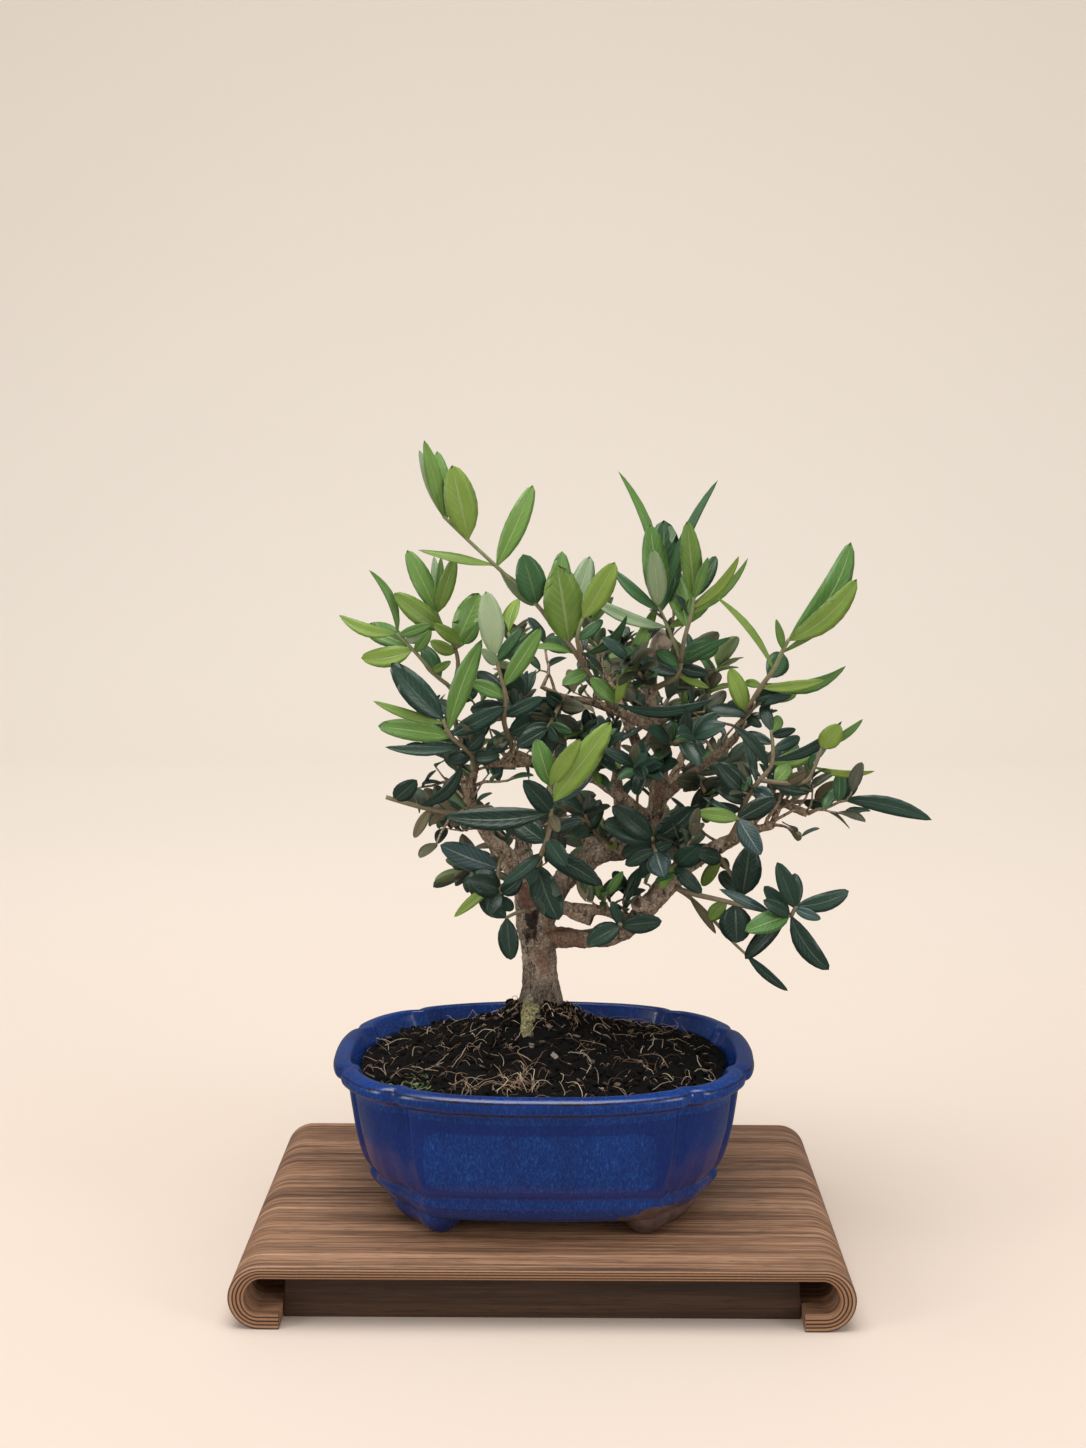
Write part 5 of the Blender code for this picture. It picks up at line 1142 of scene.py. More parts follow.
for piece in arm_pieces:
    piece.select_set(True)
trunk = arm_pieces[0]
bpy.context.view_layer.objects.active = trunk
bpy.ops.object.join()
skin = trunk.modifiers.new("grown_together", "REMESH")
skin.mode = "VOXEL"
skin.voxel_size = 0.00075
skin.adaptivity = 0.0
soft = trunk.modifiers.new("healed_joints", "SMOOTH")
soft.factor = 0.5
soft.iterations = 7
apply_all(trunk)
samples = [(Vector(place[:3]), place[3]) for arm in arms for place in arm]
arm_tree = KDTree(len(samples))
for i, (place, radius) in enumerate(samples):
    arm_tree.insert(place, i)
arm_tree.balance()
places = places_of(trunk)
outward = np.empty(len(trunk.data.vertices) * 3, dtype=np.float32)
trunk.data.vertices.foreach_get("normal", outward)
outward = outward.reshape(-1, 3)
girth = []
hollow = seen(531, 929, 3)
for index, place in enumerate(places):
    point = Vector(place)
    nearest = arm_tree.find(point)[1]
    radius = samples[nearest][1] / MM
    girth.append(min(1.0, radius / 9.0))
    rough = min(1.0, radius / 6.0)
    relief = (noise.noise(Vector((point.x * 150, point.y * 150, point.z * 75))) * 1.1
              + noise.noise(point * 400) * 0.50 + noise.noise(point * 850) * 0.26) * rough
    pit = max(0.0, noise.noise(point * 330 + Vector((5.0, 2.0, 9.0))) - 0.36)
    relief -= pit * 4.5 * rough
    away = Vector((point.x - hollow.x, (point.y - hollow.y) * 0.4, (point.z - hollow.z) * 0.45))
    ragged = 3.3 * (1 + 0.9 * noise.noise(point * 230)) * MM
    if point.y < 8 * MM and away.length < ragged:
        relief -= 2.0 * smooth_step((ragged - away.length) / (2.2 * MM))
    place += outward[index] * relief * MM
move_to(trunk, places)
point_values(trunk, "girth", girth)
trunk.data.shade_smooth()

bark, tree, shader = start_material("olive_bark", 0.82)
girth_value = add_node(tree, "Attribute", attribute_name="girth").outputs["Fac"]
patches = mottle(tree, place_of(tree, (95.0, 95.0, 48.0)), 1.0, 5.0, 0.65)
fissures = mottle(tree, place_of(tree, (520.0, 520.0, 190.0)), 1.0, 5.0, 0.7)
specks = mottle(tree, place_of(tree), 780.0, 4.0, 0.75)
old_skin = stepped(tree, patches, ((0.30, (0.080, 0.052, 0.036)), (0.43, (0.180, 0.130, 0.092)),
                                   (0.55, (0.290, 0.220, 0.162)), (0.68, (0.44, 0.37, 0.29))))
thin_skin = stepped(tree, patches, ((0.35, (0.20, 0.135, 0.086)), (0.65, (0.37, 0.27, 0.18))))
skin_colour = blended(tree, stepped(tree, girth_value, ((0.25, 0.0), (0.65, 1.0))), thin_skin, old_skin)
for pattern, stops, colour in ((specks, ((0.36, 0.8), (0.45, 0.0)), (0.060, 0.040, 0.028)),
                               (fissures, ((0.38, 0.95), (0.48, 0.0)), (0.030, 0.019, 0.013)),
                               (specks, ((0.54, 0.0), (0.64, 0.75)), (0.56, 0.49, 0.40))):
    skin_colour = blended(tree, stepped(tree, pattern, stops), skin_colour, colour)


def near_spot(tree, view_place, reach, ragged=0.35, tall=1.0):
    """Mask round a place on the tree, with a ragged edge; reach is in mm."""
    centre = tuple(seen(*view_place) + pot_middle)
    spot = add_node(tree, "VectorMath", operation="LENGTH")
    tree.links.new(place_of(tree, (1.0, 1.0, 1.0 / tall), centre), spot.inputs[0])
    edge = mottle(tree, place_of(tree), 260.0, 4.0)
    away = reckoned(tree, "DIVIDE", spot.outputs["Value"], reach * MM)
    away = reckoned(tree, "ADD", away, reckoned(tree, "MULTIPLY_ADD", edge, 2 * ragged, -ragged))
    return stepped(tree, away, ((0.75, 1.0), (1.05, 0.0)))


# The spots of the skin: column, row and depth, reach, raggedness, tallness, strength and colour.
# Reddish skin, then painted shade inside the old hollow, the bare top stub, the sawn face and a charred end.
reddish = (0.175, 0.078, 0.042)
hollow_painted_shade = (0.020, 0.010, 0.007)
bark_spots = (
    ((531, 897, 6), 7.5, 0.35, 1.0, 0.75, (0.17, 0.062, 0.036)),
    ((566, 944, 2), 11.0, 0.8, 1.0, 0.55, reddish), ((548, 965, 2), 9.0, 0.8, 1.0, 0.55, reddish),
    ((556, 925, 2), 8.0, 0.8, 1.0, 0.55, reddish), ((640, 868, 2), 10.0, 0.8, 1.0, 0.55, reddish),
    ((652, 800, 2), 9.0, 0.8, 1.0, 0.55, reddish),
    # Painted shade: the inside of the shallow hollow is painted near black.
    ((531, 921, 4), 4.4, 1.1, 2.0, 0.92, hollow_painted_shade),
    ((528, 936, 4), 3.6, 1.1, 2.0, 0.92, hollow_painted_shade),
    ((536, 912, 4), 2.6, 1.1, 2.0, 0.92, hollow_painted_shade),
    ((658, 638, 1), 11.0, 0.35, 1.0, 0.85, (0.46, 0.385, 0.30)),
    ((634, 902, -14), 4.6, 0.35, 1.0, 1.0, (0.085, 0.048, 0.030)),
    ((593, 921, -4), 3.2, 0.35, 1.0, 1.0, (0.035, 0.024, 0.018)))
for view_place, reach, ragged, tall, strength, colour in bark_spots:
    spot_mask = near_spot(tree, view_place, reach, ragged, tall)
    skin_colour = blended(tree, reckoned(tree, "MULTIPLY", spot_mask, strength), skin_colour, colour)
parts = add_node(tree, "SeparateXYZ")
tree.links.new(add_node(tree, "TexCoord").outputs["Object"], parts.inputs["Vector"])
# Darker towards the foot of the trunk, by the soil.
height_over_foot = reckoned(tree, "MULTIPLY_ADD", parts.outputs["Z"], 22.0, -22.0 * (stand_top + 0.092))
darker_foot = stepped(tree, height_over_foot, ((0.0, 1.0), (0.55, 0.0)))
darker_foot = reckoned(tree, "MULTIPLY", darker_foot, stepped(tree, patches, ((0.3, 1.0), (0.62, 0.55))))
skin_colour = blended(tree, darker_foot, skin_colour, (0.030, 0.020, 0.014))
moss_mask = near_spot(tree, (522, 1018, -4), 13.0, 0.9)
moss = stepped(tree, specks, ((0.38, (0.035, 0.030, 0.016)), (0.47, (0.16, 0.15, 0.065)),
                              (0.56, (0.33, 0.32, 0.13)), (0.66, (0.47, 0.46, 0.24))))
skin_colour = blended(tree, reckoned(tree, "MULTIPLY", moss_mask, 0.85), skin_colour, moss)
painted(tree, shader, skin_colour, stepped(tree, specks, ((0.3, 0.72), (0.7, 0.92))))
embossed(tree, shader, reckoned(tree, "ADD", fissures, reckoned(tree, "MULTIPLY", specks, 0.35)), 0.0011, 0.8)
hand_over(trunk, "trunk", bark, "bark", "trunk_and_limbs")


# The leaves. Each is one thick small blade on a short stalk, folded a little along a pale
# midrib, glossy dark above and paler below. One is modelled, and every other is that one bent.
young = "young"
olive = "olive"
pale = "pale"
old = "old"
dry = "dry"
green = "green"
shaded = "shaded"
silvery = "silvery"
bpy.ops.object.select_all(action="DESELECT")
bpy.ops.mesh.primitive_grid_add(x_subdivisions=4, y_subdivisions=8, size=2.0, location=(0.0, 0.0, 0.0))
leaf_top = bpy.context.object
bpy.ops.object.select_all(action="DESELECT")
bpy.ops.mesh.primitive_grid_add(x_subdivisions=2, y_subdivisions=8, size=2.0, location=(0.0, 0.0, 0.0))
leaf_under = bpy.context.object
bpy.ops.object.mode_set(mode="EDIT")
bpy.ops.mesh.select_all(action="SELECT")
bpy.ops.mesh.flip_normals()
bpy.ops.object.mode_set(mode="OBJECT")


def leaf_side(thing):
    """Place across and along the blade of each vertex, with the faces."""
    places = places_of(thing)
    faces = [tuple(face.vertices) for face in thing.data.polygons]
    bpy.data.objects.remove(thing)
    return places[:, 0], (places[:, 1] + 1) / 2, faces


top_across, top_along, top_faces = leaf_side(leaf_top)
under_across, under_along, under_faces = leaf_side(leaf_under)
stalk_half = 0.6 * MM


class Blade:
    """Where one leaf stands and how it lies."""

    def __init__(self, foot, tip, face, width, bow=0.0, arch=0.06):
        self.foot = foot
        self.tip = tip
        self.length = (tip - foot).length
        self.along = (tip - foot).normalized()
        self.face = (face - self.along * face.dot(self.along)).normalized()
        self.side = self.along.cross(self.face)
        self.width = width
        self.bow = bow
        self.arch = arch

    def surface(self, across, along, under, fold, wave, phase):
        """Places of the blade's upper or under side."""
        spread = 1 - (1 - along) ** 1.35
        reach = np.clip((spread - 0.07) / 0.93, 0.0, 1.0)
        blunt = 0.55 if self.width > 0.22 * self.length else 0.72
        half = self.width / 2 * np.sin(math.pi * reach ** 0.95) ** blunt
        half = np.where(spread < 0.02, 0.0004, stalk_half * (1 - spread * 0.75) + half)
        half = np.where(spread > 0.995, 0.0, half)
        swell = 4 * spread * (1 - spread) * self.length
        lift = fold * np.abs(across) ** 1.3 * half
        lift = lift + wave * np.sin(along * 9.0 + phase + across * 1.3) * half * np.abs(across)
        thick = 0.42 * MM * (1 - 0.55 * np.abs(across)) * (1 - spread ** 6)
        if under:
            rib = 0.35 * MM * (np.abs(across) < 0.1) * (1 - spread ** 3)
            lift = lift - thick * (1 - np.abs(across)) - rib
        else:
            lift = lift - 0.10 * MM * (np.abs(across) < 0.1)
        centre = (np.array(self.foot)[None, :] + np.outer(self.length * spread, np.array(self.along))
                  + np.outer(self.arch * swell, np.array(self.face))
                  + np.outer(self.bow * swell, np.array(self.side)))
        return centre + np.outer(across * half, np.array(self.side)) + np.outer(lift, np.array(self.face))


def nearest_on_routes(routes, column, row):
    """The place on a shoot's stems nearest to a column and row of the view."""
    best = None
    for route in routes:
        for before, after in zip(route, route[1:]):
            run = (after[0] - before[0], after[1] - before[1])
            size = run[0] ** 2 + run[1] ** 2
            share = ((column - before[0]) * run[0] + (row - before[1]) * run[1]) / max(size, 1e-9)
            share = min(max(share, 0.0), 1.0)
            place = [before[k] + (after[k] - before[k]) * share for k in range(3)]
            away = math.hypot(place[0] - column, place[1] - row)
            if best is None or away < best[0]:
                best = (away, place)
    return best[1]


def seen_blade(routes, leaf, shift):
    """Blade of a leaf that the view shows, its tip moved shift mm in depth."""
    tone, foot_column, foot_row, tip_column, tip_row, width = leaf[:6]
    lean = leaf[6] if len(leaf) > 6 else 0.0
    bow = leaf[7] if len(leaf) > 7 else 0.0
    roll = leaf[8] if len(leaf) > 8 else 8.0
    column, row, depth = nearest_on_routes(routes, foot_column, foot_row)
    foot = seen(column, row, depth)
    tip = seen(tip_column, tip_row, depth - lean + shift)
    face = (eye - foot).normalized()
    along = (tip - foot).normalized()
    face = Matrix.Rotation(math.radians(roll), 3, along) @ face
    return Blade(foot, tip, face, width * MM, bow)


def hidden_blades(stops, pairs, length, seed):
    """Candidates for the leaves of a shoot at the back or inside: a list of blades for each."""
    draw = random.Random(seed)
    points = [seen(*stop) for stop in stops]
    runs = [(after - before).length for before, after in zip(points, points[1:])]
    total = sum(runs)
    wanted = []
    for pair in range(pairs):
        share = 0.30 + 0.70 * pair / (pairs - 1)
        for side in (0, 1):
            if pair == pairs - 1 and side == 1:
                share = 1.0
            travelled = share * total
            k = 0
            while k < len(runs) - 1 and travelled > runs[k]:
                travelled -= runs[k]
                k += 1
            along = (points[k + 1] - points[k]).normalized()
            foot = points[k] + along * min(travelled, runs[k])
            turn = math.radians(90 * pair + 180 * side + draw.uniform(-20, 20))
            size = length * draw.uniform(0.8, 1.15) * MM
            width = size * draw.uniform(0.36, 0.50)
            lift = draw.uniform(0.35, 0.75) + (0.5 if pair == pairs - 1 else 0.0)
            wanted.append((foot, along, turn, size, width, lift))
    candidates = []
    for foot, along, turn, size, width, lift in wanted:
        level = along.cross(Vector((0, 0, 1))).normalized()
        over = level.cross(along).normalized()
        tries = []
        for swing in (0, 22, -22, 45, -45, 68, -68, 90, -90, 120, -120):
            angle = turn + math.radians(swing)
            out = level * math.cos(angle) + over * math.sin(angle)
            course = (out + along * lift + Vector((0, 0, 0.18))).normalized()
            face = (along - course * along.dot(course) + Vector((0, 0, 0.5))).normalized()
            for scale in (1.0, 0.8):
                tip = foot + course * size * scale
                tries.append(Blade(foot, tip, face, width * scale))
        candidates.append(tries)
    return candidates


# The finishes of the leaves: bright young ones, olive, pale, green, old blue-green, shaded,
# silvery and dry ones. All share the veins, the pale midrib and edge, and a paler underside.
leaf_marks = bpy.data.node_groups.new("leaf_marks", "ShaderNodeTree")
leaf_marks.interface.new_socket(name="Rib", in_out="OUTPUT", socket_type="NodeSocketFloat")
leaf_marks.interface.new_socket(name="Veins", in_out="OUTPUT", socket_type="NodeSocketFloat")
leaf_marks.interface.new_socket(name="Rim", in_out="OUTPUT", socket_type="NodeSocketFloat")
leaf_marks.interface.new_socket(name="Under", in_out="OUTPUT", socket_type="NodeSocketFloat")
leaf_marks.interface.new_socket(name="Cloud", in_out="OUTPUT", socket_type="NodeSocketFloat")
marks_out = leaf_marks.nodes.new("NodeGroupOutput")
leaf_map = add_node(leaf_marks, "UVMap", uv_map="leaf")
parts = add_node(leaf_marks, "SeparateXYZ")
leaf_marks.links.new(leaf_map.outputs["UV"], parts.inputs["Vector"])
from_rib = reckoned(leaf_marks, "ABSOLUTE", reckoned(leaf_marks, "SUBTRACT", parts.outputs["X"], 0.5))
under_value = reckoned(leaf_marks, "GREATER_THAN", parts.outputs["Y"], 1.5)
leaf_along = reckoned(leaf_marks, "FRACT", parts.outputs["Y"])
rib_width = reckoned(leaf_marks, "MULTIPLY_ADD", leaf_along, -0.035, 0.06)
off_rib = reckoned(leaf_marks, "DIVIDE", from_rib, rib_width)
rib_value = reckoned(leaf_marks, "SUBTRACT", 1.0, off_rib, clamp=True)
leaf_marks.links.new(rib_value, marks_out.inputs["Rib"])
slant = reckoned(leaf_marks, "MULTIPLY_ADD", from_rib, -0.55, leaf_along)
ripples = reckoned(leaf_marks, "SINE", reckoned(leaf_marks, "MULTIPLY", slant, 62.0))
leaf_marks.links.new(stepped(leaf_marks, ripples, ((0.72, 0.0), (0.98, 1.0))), marks_out.inputs["Veins"])
leaf_marks.links.new(stepped(leaf_marks, from_rib, ((0.44, 0.0), (0.495, 1.0))), marks_out.inputs["Rim"])
leaf_marks.links.new(under_value, marks_out.inputs["Under"])
leaf_marks.links.new(mottle(leaf_marks, place_of(leaf_marks), 150.0, 4.0), marks_out.inputs["Cloud"])


def leaf_finish(name, dark, light, rib, under, roughness, spots=0.0):
    """A leaf material from its darkest and lightest tone, its midrib and its underside."""
    material, tree, shader = start_material(name, roughness)
    marks = tree.nodes.new("ShaderNodeGroup")
    marks.node_tree = leaf_marks
    tone = add_node(tree, "Attribute", attribute_name="leaf_tone").outputs["Fac"]
    mixed = reckoned(tree, "ADD", reckoned(tree, "MULTIPLY", tone, 0.65),
                     reckoned(tree, "MULTIPLY", marks.outputs["Cloud"], 0.35))
    colour = blended(tree, stepped(tree, mixed, ((0.12, 0.0), (0.85, 1.0))), dark, light)
    colour = blended(tree, reckoned(tree, "MULTIPLY", marks.outputs["Veins"], 0.16), colour, rib)
    colour = blended(tree, reckoned(tree, "MULTIPLY", marks.outputs["Rim"], 0.35), colour, rib)
    if spots:
        dots = mottle(tree, place_of(tree), 1300.0, 2.0)
        colour = blended(tree, stepped(tree, dots, ((0.66, 0.0), (0.72, spots))), colour, (0.30, 0.34, 0.28))
    colour = blended(tree, reckoned(tree, "MULTIPLY", marks.outputs["Under"], 0.8), colour, under)
    colour = blended(tree, reckoned(tree, "MULTIPLY", marks.outputs["Rib"], 0.75), colour, rib)
    matt = reckoned(tree, "MULTIPLY_ADD", marks.outputs["Cloud"], 0.14, roughness - 0.07)
    painted(tree, shader, colour, reckoned(tree, "MULTIPLY_ADD", marks.outputs["Under"], 0.2, matt))
    relief = reckoned(tree, "MULTIPLY_ADD", marks.outputs["Rib"], -1.0,
                      reckoned(tree, "MULTIPLY", marks.outputs["Veins"], -0.35))
    embossed(tree, shader, relief, 0.00025, 0.8)
    shader.inputs["Specular IOR Level"].default_value = 0.6
    return material


leaf_finishes = {
    green: leaf_finish("green_leaf", (0.016, 0.062, 0.022), (0.048, 0.150, 0.048), (0.16, 0.27, 0.12),
                       (0.11, 0.18, 0.085), 0.36),
    silvery: leaf_finish("silvery_leaf", (0.015, 0.040, 0.042), (0.045, 0.100, 0.098), (0.30, 0.37, 0.33),
                         (0.10, 0.14, 0.12), 0.33, 0.2),
    shaded: leaf_finish("shaded_leaf", (0.030, 0.037, 0.020), (0.085, 0.090, 0.048), (0.16, 0.16, 0.09),
                        (0.13, 0.125, 0.075), 0.48),
    young: leaf_finish("young_leaf", (0.040, 0.150, 0.030), (0.150, 0.300, 0.055), (0.36, 0.48, 0.16),
                       (0.19, 0.30, 0.11), 0.40),
    olive: leaf_finish("olive_leaf", (0.088, 0.190, 0.024), (0.235, 0.365, 0.050), (0.32, 0.38, 0.16),
                       (0.19, 0.25, 0.12), 0.42),
    pale: leaf_finish("pale_leaf", (0.19, 0.29, 0.155), (0.36, 0.47, 0.27), (0.42, 0.50, 0.28),
                      (0.30, 0.39, 0.24), 0.45),
    old: leaf_finish("old_leaf", (0.0065, 0.024, 0.016), (0.020, 0.062, 0.042), (0.085, 0.135, 0.085),
                     (0.075, 0.115, 0.075), 0.36, 0.25),
    dry: leaf_finish("dry_leaf", (0.085, 0.075, 0.035), (0.20, 0.165, 0.085), (0.30, 0.25, 0.15),
                     (0.21, 0.18, 0.11), 0.55),
}
young_stem, tree, shader = start_material("young_stem", 0.6)
stem_share = add_node(tree, "Attribute", attribute_name="leaf_tone").outputs["Fac"]
stem_cloud = mottle(tree, place_of(tree), 380.0, 4.0)
stem_colour = stepped(tree, stem_share, ((0.0, (0.205, 0.150, 0.098)), (0.45, (0.245, 0.205, 0.120)),
                                         (1.0, (0.235, 0.285, 0.125))))
stem_shade = stepped(tree, stem_cloud, ((0.3, 0.45), (0.7, 1.0)))
painted(tree, shader, blended(tree, 0.55, stem_colour, stem_shade, "MULTIPLY"))
embossed(tree, shader, stem_cloud, 0.0004, 0.6)
finish_names = (young, olive, pale, old, dry, green, shaded, silvery)
finish_row = [*(leaf_finishes[name] for name in finish_names), young_stem]
finish_place = {name: place for place, name in enumerate((*finish_names, "stem"))}


